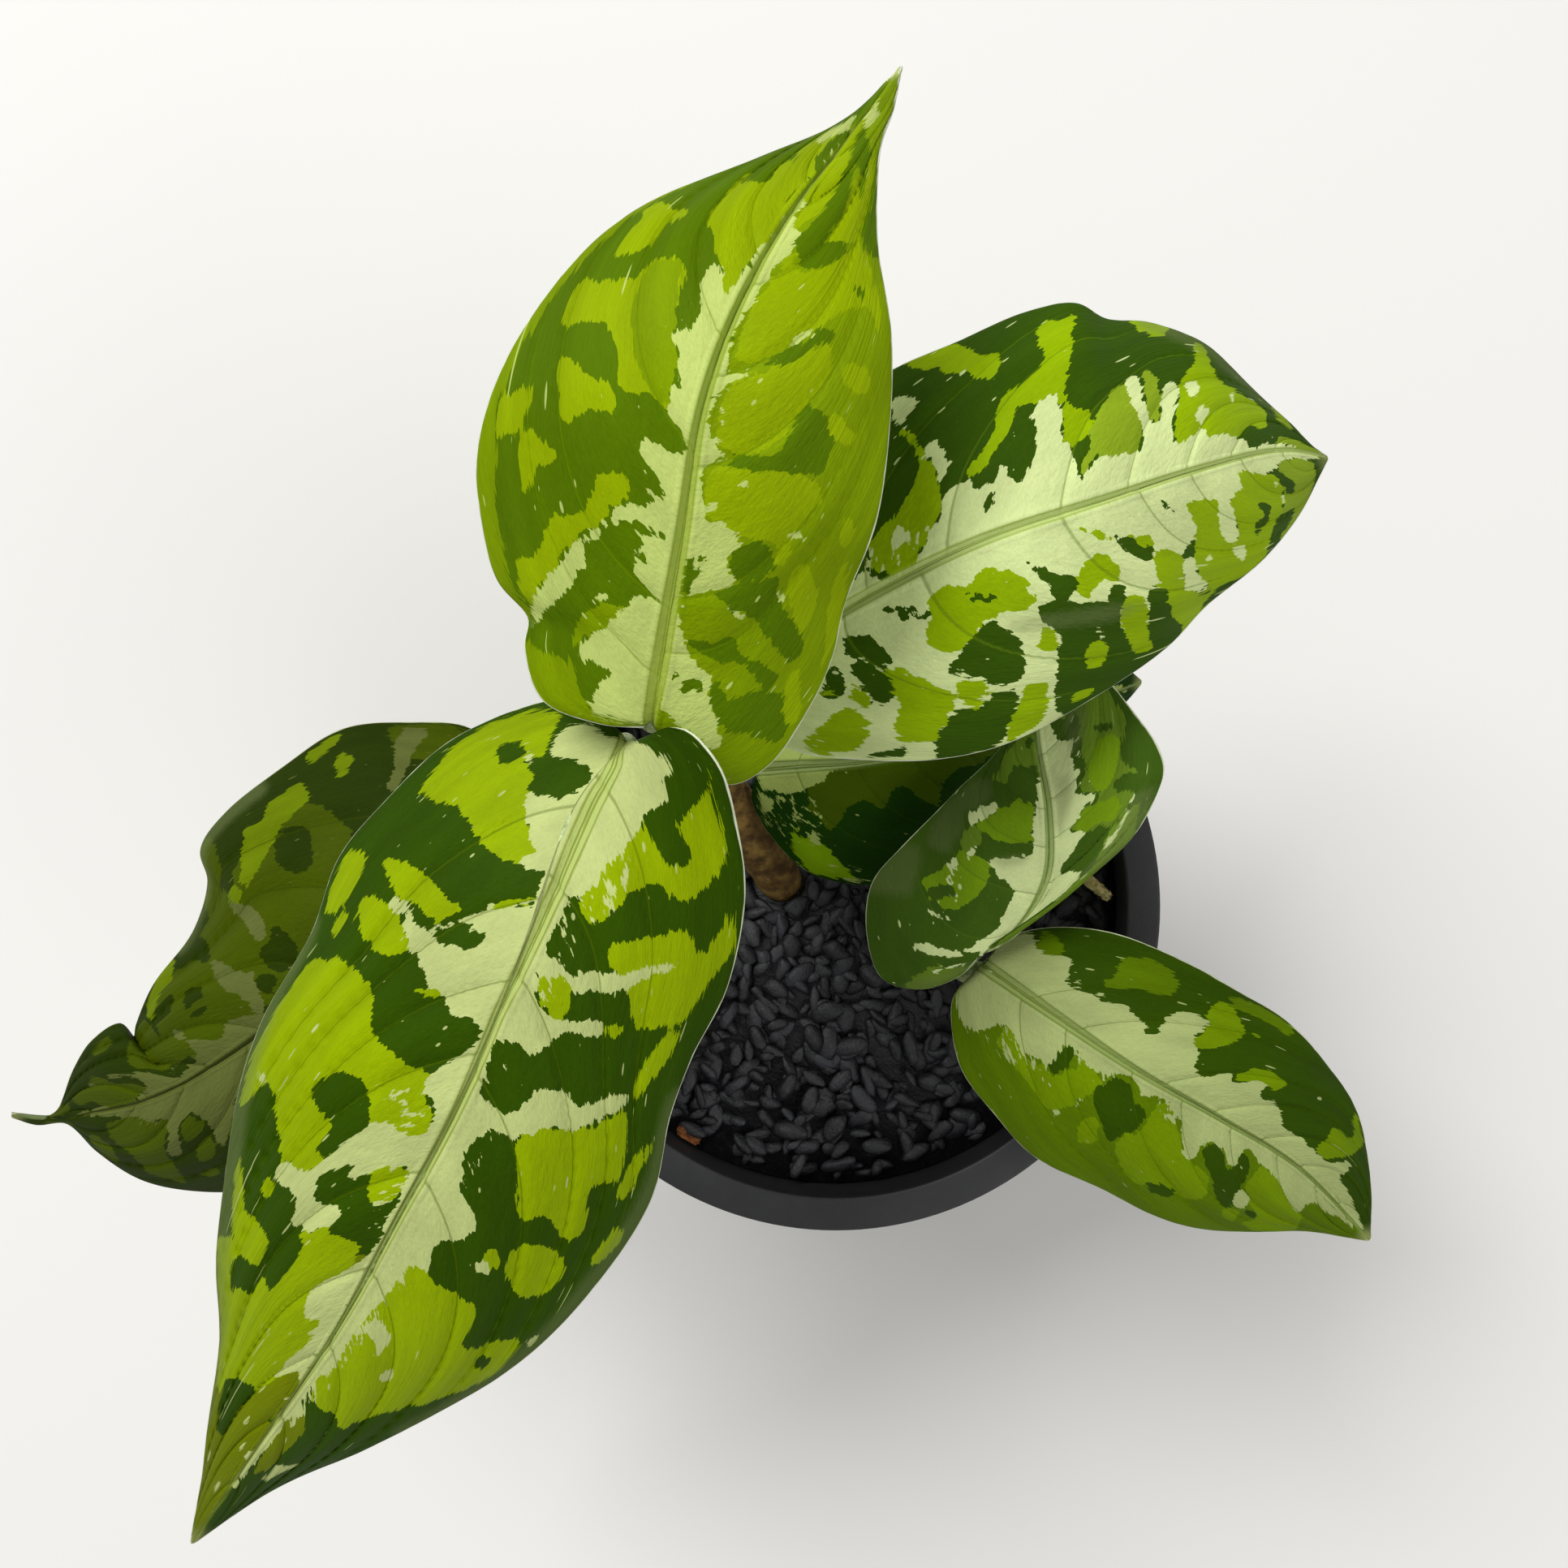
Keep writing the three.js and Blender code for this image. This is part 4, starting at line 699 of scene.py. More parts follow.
        ("dark", (11, -38), (13, -40), (16, -53), (16.2, -65), (14.5, -67), (13, -57), (11.5, -47)),
        ("lime", (11, -48), (12.5, -55), (14, -66), (13, -68), (11.5, -60)),
        ("dark", (14.5, -11), (16, -14), (19, -17), (18.5, -20), (15, -14)),
        ("dark", (17, -19), (21, -24), (21.3, -26), (19, -25), (17.5, -22)),
        ("lime", (20, -33), (21, -25), (20.5, -17), (22, -15), (24, -13), (26, -20), (28, -12), (31, -17),
         (33.5, -25), (34.5, -38), (32, -40), (30, -36), (27, -37), (25, -45), (22, -46), (20, -38)),
        ("fray", (25, -12), (28, -10), (31, -16), (30, -20), (27, -17)),
        ("dark", (22, -53), (25, -45), (27, -38), (29, -40), (31, -50), (31.5, -60), (31, -70), (30, -72),
         (27, -68), (26, -62), (23, -57)),
        ("lime", (23, -60), (26, -65), (26.5, -75), (27.5, -82), (26, -82), (24, -75), (23, -68)),
        ("dark", (20.5, -88), (21, -83), (23, -73), (25, -80), (26.5, -72), (30, -74), (29.5, -84),
         (28, -93), (27, -100), (20, -99)),
        ("lime", (27.5, -99), (28.5, -88), (30, -80), (31, -73), (34, -78), (33.5, -90), (32, -97)),
        ("dark", (13.5, -97), (15, -93), (17.5, -91), (17.5, -96)),
        ("pale", (30, -40), (32, -40), (34, -48), (33.5, -58), (35, -65), (35.5, -78), (33, -77),
         (31, -72), (31.5, -60), (31, -50)),
        ("dark", (25, -20), (27, -22), (30, -30), (29.5, -31), (26.5, -26)),
        ("lime", (33.5, -55), (34.5, -50), (35.5, -53), (36.5, -63), (35, -65), (33.5, -60)),
        ("dark", (33.5, -16), (36, -22), (37, -28), (40, -33), (40, -42), (37.5, -43), (36, -40),
         (36.5, -33), (35, -27)),
        ("dark", (33.5, -42), (36, -40), (40, -48), (44, -52), (45, -45), (47, -48), (46, -58), (45, -65),
         (46, -75), (47.5, -88), (46, -100), (42, -103), (35, -101), (34, -85), (35.5, -75), (35.5, -65),
         (37, -63), (35.5, -52)),
        ("lime", (39, -78), (40, -70), (42, -72), (43, -78), (42, -84), (40, -84)),
        ("lime", (36, -95), (37.5, -91), (40, -92), (39, -97)),
        ("pale", (41, -63), (42, -65), (43, -72), (42, -70)),
        ("lime", (40, -33), (42.5, -27), (44, -25), (46, -35), (47, -43), (45, -45), (44, -40),
         (42.5, -43), (41, -48), (39.5, -42)),
        ("lime", (42, -10), (45, -15), (47.5, -25), (47, -25), (44, -17)),
        ("lime", (45, -60), (47.5, -55), (50, -63), (49, -80), (50, -95), (47, -90), (45.5, -75)),
        ("dark", (46, -18), (48, -22), (51, -32), (52.5, -38), (51.5, -44), (49, -38), (47.5, -28)),
        ("lime", (48, -22), (52, -28), (53, -35), (52, -37)),
        ("dark", (54.7, -8), (56, -13), (58, -20), (59.2, -27), (57.5, -23), (56, -17)),
        ("lime", (52, -40), (54.5, -40), (57, -50), (58, -55), (56.5, -62), (58, -75), (60, -85),
         (65, -90), (70, -95), (60, -103), (50, -98), (54, -80), (53, -68), (53.5, -63), (52, -55)),
        ("lime", (59.5, -15), (61, -20), (64, -22), (67, -28), (66.5, -40), (66, -48), (67, -58),
         (69, -65), (70, -60), (70, -45), (69, -33), (70, -31), (73, -28), (72.5, -15), (73, -10),
         (78, -20), (82, -30), (83, -40), (83, -60), (82, -70), (80, -75), (78, -85), (75, -98), (65, -97),
         (62, -80), (60, -65), (60, -57), (61.5, -45), (61, -30)),
        ("mid", (83, -16), (90, -14), (94, -30), (94, -75), (90, -102), (80, -100), (82, -70), (84, -45)),
        ("pale", (66.5, -35), (68, -33), (69.5, -35), (70, -50), (70, -65), (68.5, -65), (67, -60),
         (66, -50)),
        ("pale", (68, -70), (70, -72), (71.5, -75), (71, -83), (70.5, -87), (69.5, -80)),
        ("pale", (58, -55), (59.5, -57), (60, -65), (61.5, -78), (63, -87), (59, -80), (57, -73),
         (58, -67), (56.5, -63)),
        ("pale", (62.4, -64), (63.5, -64), (64, -68), (63, -68)),
        ("pale", (80.5, -35), (82, -37), (82, -42), (81, -41)),
        ("pale", (82, -56), (83, -57), (83, -64), (82.2, -62)),
        ("pale", (42.5, -50), (43, -42), (44, -40), (44.5, -48), (44, -53)),
        ("pale", (25.5, -72), (26, -71), (26.6, -75), (26, -76)),
        ("dark", (75.5, -47), (77, -47), (78.5, -55), (78.5, -65), (77, -70), (74, -72), (73.5, -67),
         (74.5, -62), (76.5, -62), (76.5, -55)),
        ("dark", (50, -58), (52, -58), (54, -65), (53.5, -72), (53, -75), (54, -85), (56, -95), (55, -103),
         (50, -100), (49, -93), (51, -88), (51, -78), (49, -75), (50, -70)),
        ("dark", (60, -97), (62, -93), (67, -93), (70, -99), (64, -99)),
        ("dark", (79, -75), (82, -73), (86, -80), (84, -90), (80, -95), (77, -92)),
        ("dark", (82.5, -27), (84, -27), (85, -40), (87, -50), (86, -65), (84, -55)),
        ("pale", (33, -30), (35, -27), (36, -33), (35.5, -39), (34, -35)),
    ),
    "leaf_lower_right": (
        ("mid", (15, 80), (17, 88), (20, 87), (23.5, 80), (25, 70), (23, 62), (21, 60), (20, 55), (18, 45),
         (16.5, 45), (17, 55), (15.5, 70)),
        ("mid", (30, 92), (34, 97), (44, 97), (44, 90), (38, 88), (33, 86)),
        ("fray", (12, 26), (20, 24), (31, 26), (31, 36), (20, 38), (12, 40)),
        ("fray", (53, 30), (63, 24), (62, 34), (54, 44)),
        ("lime", (30, 85), (33, 85), (36, 78), (39, 70), (39, 60), (37.5, 45), (36, 40), (34, 47),
         (34, 55), (33, 63), (31, 68)),
        ("lime", (45.5, 55), (48, 60), (52, 63), (53, 55), (52, 48), (50, 50), (48, 45), (47, 33),
         (46, 37), (45.5, 45)),
        ("lime", (67, 65), (69, 70), (72, 75), (72, 84), (68, 88), (67, 96), (75, 96), (76, 80), (76, 60),
         (75, 50), (74, 34), (71, 32), (70, 45), (69, 55)),
        ("pale", (-2, 0), (-2, 100), (3, 95), (5, 62), (8, 48), (10, 60), (11.5, 45), (13, 30), (15, 30),
         (17, 33), (20, 33), (22, 42), (24, 38), (28, 33), (29, 27), (30, 35), (28, 50), (28, 60),
         (30, 65), (32, 65), (33.5, 58), (34, 45), (37, 40), (38.5, 30), (40, 25), (43, 22), (44, 40),
         (46, 35), (47, 32), (48, 40), (48.5, 47), (50, 50), (51, 42), (53, 35), (55, 40), (58, 37),
         (60, 33), (62, 27), (65, 30), (70, 30), (75, 33), (76, 45), (77, 60), (79, 62), (80, 45),
         (80, 35), (85, 40), (90, 40), (100, 10), (100, 0)),
        ("mid", (4, 95), (7, 75), (9, 60), (8, 50), (5, 60), (4.5, 80)),
        ("lime", (39, 75), (40, 77), (41.5, 76), (41, 73)),
        ("pale", (59, 74), (60, 74), (60, 69), (59.3, 70)),
        ("mid", (-2, 0), (-2, -105), (102, -105), (102, 0)),
        ("lime", (10, -35), (11, -28), (14, -40), (16, -45), (18, -37), (21, -40), (23, -30), (25, -20),
         (25, -12), (28, -18), (30, -20), (29, -30), (27, -40), (26, -50), (22, -62), (15, -55), (10, -50)),
        ("lime", (28, -58), (30, -45), (32, -55), (32, -65), (29, -72)),
        ("lime", (35, -60), (36, -50), (39, -40), (40, -15), (42, -10), (45, -18), (46, -28), (48, -43),
         (52, -43), (55, -50), (56, -60), (55, -70), (52, -75), (50, -72), (46, -72), (42, -80), (38, -75)),
        ("lime", (63, -45), (64, -30), (65, -20), (69, -24), (72, -34), (74, -44), (77, -58), (80, -65),
         (80, -80), (80, -98), (70, -98), (66, -85), (69, -80), (68, -70), (66, -65), (65, -55)),
        ("lime", (60, -70), (65, -72), (64, -85), (61, -80)),
        ("fray", (6, -30), (9, -26), (16, -36), (21, -34), (19, -55), (9, -62)),
        ("fray", (22, -8), (32, -8), (36, -14), (30, -28), (24, -24)),
        ("fray", (38, -6), (48, -12), (46, -26), (40, -18)),
        ("dark", (43, -75), (46, -70), (50, -70), (49, -78), (45, -82)),
        ("dark", (65, -72), (67, -68), (69, -75), (68, -80)),
        ("pale", (-2, 0), (0, -95), (4, -80), (6, -70), (8, -50), (10, -30), (12, -35), (15, -45),
         (16, -38), (20, -35), (20, -25), (21, -13), (23, -10), (25, -13), (27, -17), (30, -15), (33, -7),
         (35, -5), (37, -17), (40, -8), (43, -10), (46, -18), (46, -25), (48, -40), (50, -43), (51, -35),
         (51, -27), (53, -18), (56, -22), (58, -35), (60, -30), (60, -12), (63, -15), (65, -20), (69, -25),
         (72, -35), (74, -45), (77, -58), (79, -58), (79, -40), (80, -30), (83, -30), (86, -35), (93, -20),
         (100, 0)),
        ("dark", (20, -20), (21, -15), (23, -10), (24, -20), (22, -30), (21, -40), (20, -35)),
        ("dark", (28, -30), (30, -20), (32, -13), (34.5, -10), (36, -20), (39, -22), (39, -35), (37, -45),
         (35, -55), (34, -60), (32, -50), (30, -42)),
        ("dark", (51, -30), (53, -22), (55, -22), (57, -32), (58, -37), (60, -30), (60, -15), (62, -20),
         (63, -35), (62, -50), (61, -60), (63, -70), (60, -72), (57, -60), (56, -50), (53, -40)),
        ("pale", (61, -55), (63, -50), (65, -55), (65.5, -65), (64, -70), (62, -65)),
        ("pale", (23, -58), (24, -57), (24.5, -62), (23.5, -63)),
        ("pale", (26.3, -41), (27, -41), (27, -47), (26.4, -47)),
    ),
    "leaf_folded": (
        ("lime", (20.5, 50), (22.5, 60), (24, 62), (28, 72), (30, 65), (35, 60), (37, 60), (36, 50),
         (35, 40), (31, 35), (28, 33), (26.5, 33), (24, 37), (21.5, 42)),
        ("dark", (23, 65), (25, 68), (27, 62), (26.5, 50), (23.5, 48)),
        ("lime", (40, 12), (43, 14), (46, 12), (50, 12), (51, 20), (52, 30), (50, 38), (50, 45), (47, 50),
         (46, 60), (43, 57), (41, 45), (39, 30)),
        ("mid", (57, 62), (60, 70), (66, 70), (68, 60), (90, 50), (88, 10), (65, 4), (61, 4), (61, 30),
         (62, 42), (58, 45), (56, 52)),
        ("dark", (66, 12), (66, 28), (69, 32), (69, 10)),
        ("mid", (-2, 100), (8, 98), (10, 60), (6, 50), (-2, 60)),
        ("mid", (36, 55), (38, 60), (42, 64), (45, 60), (42, 50), (39, 48)),
        # Painted sheen where the blade bends away or is creased
        ("painted_sheen", (24, 74), (25, 102), (38, 102), (38, 88), (34, 80), (30, 76)),
        ("painted_sheen", (36, 66), (38, 82), (44, 92), (50, 96), (58, 90), (58, 70), (54, 58), (51, 60),
         (48, 74), (43, 66)),
        ("painted_sheen", (-2, 45), (-2, 102), (8, 102), (8, 75), (5, 60), (6, 45)),
        ("painted_sheen", (34, 14), (32, 28), (35, 38), (36, 14)),
        ("painted_sheen", (40, -10), (44, -14), (50, -22), (56, -24), (56, -14), (50, -8), (44, -6)),
        ("painted_sheen", (24, -52), (28, -58), (34, -66), (44, -76), (44, -92), (34, -100), (24, -100),
         (20, -70)),
        ("painted_sheen", (60, -30), (63, -46), (70, -62), (74, -40), (66, -30)),
        ("pale", (-2, 0), (-2, 30), (8, 24), (10, 40), (11.5, 25), (13, 20), (15, 16), (20, 17), (25, 15),
         (28, 22), (30, 30), (34, 38), (35, 38), (35, 20), (36, 13), (40, 12), (45, 14), (50, 10), (55, 7),
         (60, 4), (80, 5), (100, 0)),
        ("pale", (9, 40), (11, 52), (13, 66), (14.6, 71), (14.4, 62), (12.5, 50), (10.5, 38)),
        ("pale", (4, 46), (6, 52), (8, 66), (9, 64), (7.5, 50), (5.5, 42)),
        ("fray", (22, 45), (30, 50), (36, 62), (30, 66), (24, 55)),
        ("pale", (18, 47), (19, 55), (20.5, 63), (21, 62), (19.5, 52), (18.6, 46)),
        ("fray", (40, 25), (43, 27), (45, 22), (44, 13), (40, 13)),
        ("pale", (44.5, 60), (45.5, 65), (48, 70), (50, 60), (51.5, 50), (50, 45), (48, 46), (46.5, 55)),
        ("pale", (35, 52), (36, 56), (37.5, 55), (38, 50), (36, 48)),
        ("mid", (39, -35), (40, -18), (45, -24), (46, -40), (48, -42), (50, -28), (58, -40), (62, -45),
         (70, -30), (90, -20), (90, -90), (62, -90), (60, -80), (55, -80), (45, -75), (40, -70), (36, -60),
         (39, -50)),
        ("mid", (-2, -100), (-2, -50), (12, -50), (16, -62), (28, -62), (36, -60), (42, -80), (30, -98)),
        ("pale", (-2, 0), (10, 0), (12, -30), (16, -60), (20, -60), (25, -52), (26, -45), (27, -35),
         (28, -20), (30, -17), (33, -20), (35, -28), (38, -30), (39, -45), (40, -20), (45, -25), (47, -40),
         (49, -37), (50, -23), (55, -27), (60, -30), (63, -35), (66, -20), (80, -14), (100, 0)),
        ("dark", (50, -75), (53, -68), (57, -75), (60, -82), (60, -92), (50, -92)),
        ("dark", (46, -60), (49, -55), (50, -70), (47, -80), (45, -75)),
        ("dark", (62, -60), (65, -55), (64, -70), (62, -78)),
        ("dark", (63, -30), (68, -30), (72, -45), (66, -50), (64, -40)),
        ("fray", (50, -20), (60, -28), (65, -42), (58, -36), (50, -28)),
        ("pale", (30, -61), (33, -62), (36, -69), (43, -74), (44, -76), (35, -73), (31, -68)),
        ("lime", (39, -30), (41, -24), (45, -28), (46, -44), (45, -58), (42, -64), (39, -58), (40, -44)),
        ("lime", (50, -36), (55, -40), (60, -52), (61, -70), (58, -76), (54, -66), (50, -58), (48, -46)),
    ),
    "leaf_left": (
        ("mid", (17.5, -10), (17, -60), (18, -76), (22, -80), (28, -75), (31, -70), (34, -85), (40, -92),
         (44, -88), (47, -90), (52, -90), (55, -60), (55, -20), (40, -12), (30, -15)),
        ("mid", (3, -60), (6, -62), (9, -70), (8, -97), (3, -99)),
        ("lime", (12, -85), (12.3, -76), (14.5, -72), (14, -80), (13, -86)),
        ("lime", (11.5, -97), (12.5, -91), (15.5, -90), (15.5, -97)),
        ("lime", (17, -86), (17.5, -75), (19, -73), (22, -72), (25, -66), (28, -62), (30.5, -62),
         (29, -70), (26.5, -78), (25, -85), (24, -83), (23, -80), (21, -87), (20, -86)),
        ("mid", (28, -96), (30, -80), (33, -82), (38, -92), (36, -99), (29, -99)),
        ("lime", (30.5, -62), (33, -68), (34.5, -77), (32, -74), (30, -66)),
        ("lime", (45, -94), (47, -86), (50, -88), (53, -80), (54, -85), (52, -95), (48, -100), (45, -99)),
        ("dark", (20, -62), (21, -68), (23, -70), (25, -62), (25, -50), (23.5, -44), (22, -47),
         (20.5, -57)),
        ("dark", (31, -40), (31, -25), (33, -20), (36, -20), (37, -30), (36, -44), (34, -40)),
        ("dark", (37, -22), (38, -18), (40, -20), (40, -30), (38.5, -34), (37.5, -30)),
        ("dark", (40, -92), (40, -78), (42, -68), (42.5, -82), (45, -84), (45.3, -93), (42, -96)),
        ("dark", (45, -56), (46, -54), (49, -58), (47, -70), (45.5, -68)),
        ("dark", (46, -46), (48, -44), (50, -50), (48, -51)),
        ("dark", (48, -78), (49, -72), (51, -68), (53, -72), (54, -78), (52, -83)),
        ("mid", (54, -25), (60, -30), (64, -36), (66, -50), (64, -70), (62, -90), (57, -95), (54, -90),
         (55, -60), (53, -50)),
        ("mid", (66, -12), (67, -25), (70, -35), (71, -45), (72, -58), (74, -65), (76, -50), (80, -62),
         (81, -50), (80, -35), (77, -30), (76, -10), (74, -2), (70, -4)),
        ("mid", (66, -80), (68, -75), (70, -78), (70.5, -88), (66, -90)),
        ("mid", (82, -60), (84, -30), (90, -40), (92, -90), (85, -95)),
        ("mid", (53.5, 80), (56, 84), (58.5, 80), (55, 76)),
        ("mid", (54, 62), (55, 69), (57.5, 69), (57.5, 55), (56, 48), (54.5, 52)),
        ("mid", (55.5, 42), (58, 48), (60, 50), (60, 35), (59, 28), (57, 32)),
        ("mid", (60, 92), (63, 88), (67, 85), (68, 75), (72, 60), (75, 45), (76, 25), (72, 15), (68, 20),
         (65, 26), (63.5, 22), (63, 40), (63.5, 60), (61.5, 75)),
        ("dark", (67, 85), (69, 92), (72, 82), (71, 60), (69, 70), (67.5, 75)),
        ("mid", (72, 88), (76, 92), (79, 72), (78, 55), (75, 60), (73, 70)),
        ("mid", (82, 90), (84, 60), (90, 50), (90, 90)),
        ("mid", (5, 90), (12, 96), (20, 80), (28, 90), (40, 70), (50, 90), (52, 40), (30, 30), (16, 50),
         (8, 45), (4, 60)),
        ("pale", (-2, 0), (3, 26), (10, 22), (20, 16), (30, 18), (40, 14), (46, 20), (50, 30), (52, 60),
         (53.5, 60), (55, 40), (58, 25), (60, 30), (61, 42), (60, 58), (61, 63), (63, 60), (62.5, 45),
         (62.8, 24), (68, 20), (72, 16), (78, 10), (86, 6), (100, 0)),
        ("pale", (-2, 0), (4, -20), (14, -14), (24, -16), (33, -13), (42, -10), (44, -20), (47, -28),
         (49, -15), (51, -25), (53.5, -45), (53, -57), (52, -55), (53, -30), (54, -18), (60, -12),
         (62, -25), (65, -35), (68, -44), (70, -53), (70.5, -45), (68, -38), (66, -28), (65.5, -16),
         (69, -8), (74, -2), (77, -14), (79, -12), (84, -8), (100, 0)),
        ("pale", (5, -92), (7, -75), (9.5, -55), (11.5, -49), (11.5, -54), (9.5, -64), (8.5, -80),
         (6.5, -97)),
        ("pale", (31, -52), (32.5, -43), (34.5, -43), (35, -48), (34, -60), (34.5, -72), (33.5, -75),
         (32, -62)),
        ("pale", (38, -38), (40, -42), (40, -62), (41.5, -70), (42.5, -60), (43, -45), (42, -30),
         (43, -14), (41, -14), (40, -28)),
        ("pale", (74, -50), (75, -46), (75.5, -56), (74.8, -60)),
        ("fray", (52, -14), (52, -26), (60, -28), (60, -14)),
        ("fray", (62, 22), (62, 34), (70, 30), (70, 18)),
    ),
    "leaf_low": (
        ("mid", (20, 10), (30, 70), (50, 85), (70, 70), (75, 20), (50, 8)),
        ("lime", (34, 30), (40, 60), (52, 66), (50, 34), (42, 22)),
        # Painted shadow: the shadow cast on this blade by the leaves above, drawn as a patch of the mid tone
        ("mid", (12, 4), (13, -35), (16, -55), (18, -46), (20, -34), (24, -27), (27, -38), (30, -24),
         (33, -22), (35, -34), (38, -50), (40, -30), (44, -22), (50, -24), (56, -16), (56, 4)),
        ("pale", (-2, 0), (-2, 60), (8, 40), (16, 24), (24, 18), (30, 24), (40, 18), (50, 26), (58, 20),
         (70, 24), (80, 14), (90, 20), (100, 0)),
        ("lime", (60, -12), (70, -14), (80, -20), (84, -50), (78, -80), (66, -80), (60, -50)),
        ("lime", (9, -60), (12, -55), (14, -62), (16.5, -75), (19, -94), (12, -97), (9, -88)),
        ("dark", (9, -50), (11, -44), (13, -55), (12, -68), (9.5, -66)),
        ("pale", (-2, 0), (-2, -40), (2, -40), (5, -32), (8, -28), (12, -20), (15, -14), (18, -6),
         (24, -2), (40, -2), (46, -4), (56, -14), (62, -20), (70, -12), (80, -16), (90, -20), (100, 0)),
        ("pale", (12, -56), (13, -52), (14.5, -60), (14, -70), (12.5, -70)),
        ("pale", (2, -50), (5, -44), (5, -60), (3, -84)),
        ("fray", (0, -40), (8, -30), (14, -20), (15, -50), (10, -60), (7, -84), (3, -92)),
        ("fray", (14, -86), (18, -80), (24, -92), (18, -99)),
    ),
}

# Where a blade has a dull sheen painted into its colour, as outlines in the same form.
SHEENS = {
    "leaf_front": (
        ("painted_sheen", (22, 95), (35, 92), (50, 93), (66, 92), (66, 103), (22, 103)),
        ("painted_sheen", (20, -96), (34, -92), (48, -88), (62, -91), (76, -92), (76, -103), (20, -103)),
    ),
    "leaf_right": (
        ("painted_sheen", (30, -42), (36, -47), (44, -55), (50, -66), (44, -64), (36, -54), (31, -48)),
        ("painted_sheen", (55, 92), (70, 86), (84, 80), (84, 103), (55, 103)),
    ),
    "leaf_left": (
        ("painted_sheen", (20, -92), (30, -94), (44, -94), (44, -103), (20, -103)),
    ),
}


# Curves

def curve_through(points):
    """A smooth curve through the points, as a function of the share of its length."""
    knots = np.asarray(points, float)
    padded = np.vstack([2 * knots[0] - knots[1], knots, 2 * knots[-1] - knots[-2]])
    share = np.linspace(0, 1, 40, endpoint=False)[:, None]
    pieces = []
    for before, start, end, after in zip(padded, padded[1:], padded[2:], padded[3:]):
        steps = (start - before, end - start, after - end)
        spans = [max(np.sqrt(np.linalg.norm(step)), 1e-4) for step in steps]
        rates = [step / span for step, span in zip(steps, spans)]
        leave = (rates[0] - (end - before) / (spans[0] + spans[1]) + rates[1]) * spans[1]
        arrive = (rates[1] - (after - start) / (spans[1] + spans[2]) + rates[2]) * spans[1]
        square = 3 * (end - start) - 2 * leave - arrive
        cube = 2 * (start - end) + leave + arrive
        pieces.append(start + leave * share + square * share**2 + cube * share**3)
    line = np.vstack([*pieces, knots[-1:]])
    length = np.concatenate([[0], np.cumsum(np.linalg.norm(np.diff(line, axis=0), axis=1))])

    def at(t):
        return np.stack([np.interp(t, length / length[-1], line[:, k]) for k in range(3)], -1)

    at.length = length[-1]
    return at


def unit(vectors):
    """The vectors at length one."""
    return vectors / np.maximum(np.linalg.norm(vectors, axis=-1, keepdims=True), 1e-9)


def bell(values, middle, width):
    """One at the middle, and falling to nothing on both sides of it."""
    return np.exp(-(((values - middle) / width) ** 2))


def turn_about(axis, angle):
    """The matrix of a turn about one axis."""
    c, s = math.cos(angle), math.sin(angle)
    if axis == "x":
        return np.array([[1, 0, 0], [0, c, -s], [0, s, c]])
    if axis == "y":
        return np.array([[c, 0, s], [0, 1, 0], [-s, 0, c]])
    return np.array([[c, -s, 0], [s, c, 0], [0, 0, 1]])


# Objects

def new_object(name, points, faces, materials, face_materials=None):
    """A smooth-shaded mesh object from points in millimetres."""
    mesh = bpy.data.meshes.new(name)
    mesh.from_pydata((np.asarray(points) * MM).tolist(), [], [tuple(int(i) for i in f) for f in faces])
    for material in materials:
        mesh.materials.append(material)
    mesh.polygons.foreach_set("use_smooth", [True] * len(mesh.polygons))
    if face_materials is not None:
        mesh.polygons.foreach_set("material_index", face_materials)
    mesh.update()
    made = bpy.data.objects.new(name, mesh)
    bpy.context.scene.collection.objects.link(made)
    return made


def add_values(made, name, values):
    """Stores a number or a vector for each point."""
    values = np.asarray(values, np.float32)
    kind, field = ("FLOAT", "value") if values.ndim == 1 else ("FLOAT_VECTOR", "vector")
    made.data.attributes.new(name, kind, "POINT").data.foreach_set(field, values.ravel())


def stand_in(made, node):
    """Shows an object in place of a CAD node."""
    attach(made, "root")
    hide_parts(node)


def tube(route, radius_at, steps, sides, squash_at=None):
    """Points and faces of a closed round tube. squash_at flattens its upper side into a channel."""
    shares = np.linspace(0, 1, steps + 1)
    centres = route(shares)
    ahead = unit(np.gradient(centres, axis=0))
    across = np.cross(ahead, (0, 0, 1.0))
    upright = np.linalg.norm(across, axis=1) < 0.05
    across[upright] = np.cross(ahead[upright], (0, 1.0, 0))
    across = unit(across)
    for i in range(1, len(across)):
        if across[i] @ across[i - 1] < 0:
            across[i] *= -1
    upward = np.cross(across, ahead)
    angles = np.linspace(0, 2 * np.pi, sides, endpoint=False)
    points = []
    for i, share in enumerate(shares):
        radius = radius_at(share) * np.ones(sides)
        if squash_at is not None:
            radius *= 1 - squash_at(share) * np.maximum(0, np.sin(angles)) ** 3
        spokes = np.cos(angles)[:, None] * across[i] + np.sin(angles)[:, None] * upward[i]
        points.append(centres[i] + spokes * radius[:, None])
    points = np.vstack([*points, centres[:1], centres[-1:]])
    faces = []
    for i in range(steps):
        for j in range(sides):
            k = (j + 1) % sides
            faces.append((i * sides + j, (i + 1) * sides + j, (i + 1) * sides + k, i * sides + k))
    first, last = len(points) - 2, len(points) - 1
    for j in range(sides):
        k = (j + 1) % sides
        faces.append((first, j, k))
        faces.append((last, steps * sides + k, steps * sides + j))
    return points, faces


def ball_of(work):
    """Points and faces of the ball in a work mesh, which is then given up."""
    points = np.array([p.co[:] for p in work.verts])
    faces = [[p.index for p in f.verts] for f in work.faces]
    work.free()
    return points, faces


def with_flats(ball, random, count, depths, share=1.0):
    """A ball with soft flats cut on it in random directions, at depths between the two given."""
    shape = ball.copy()
    for _ in range(count):
        face = unit(random.normal(size=3))
        over = np.maximum(0, shape @ face - random.uniform(*depths))
        shape -= np.outer(over * share, face)
    return shape


# Materials

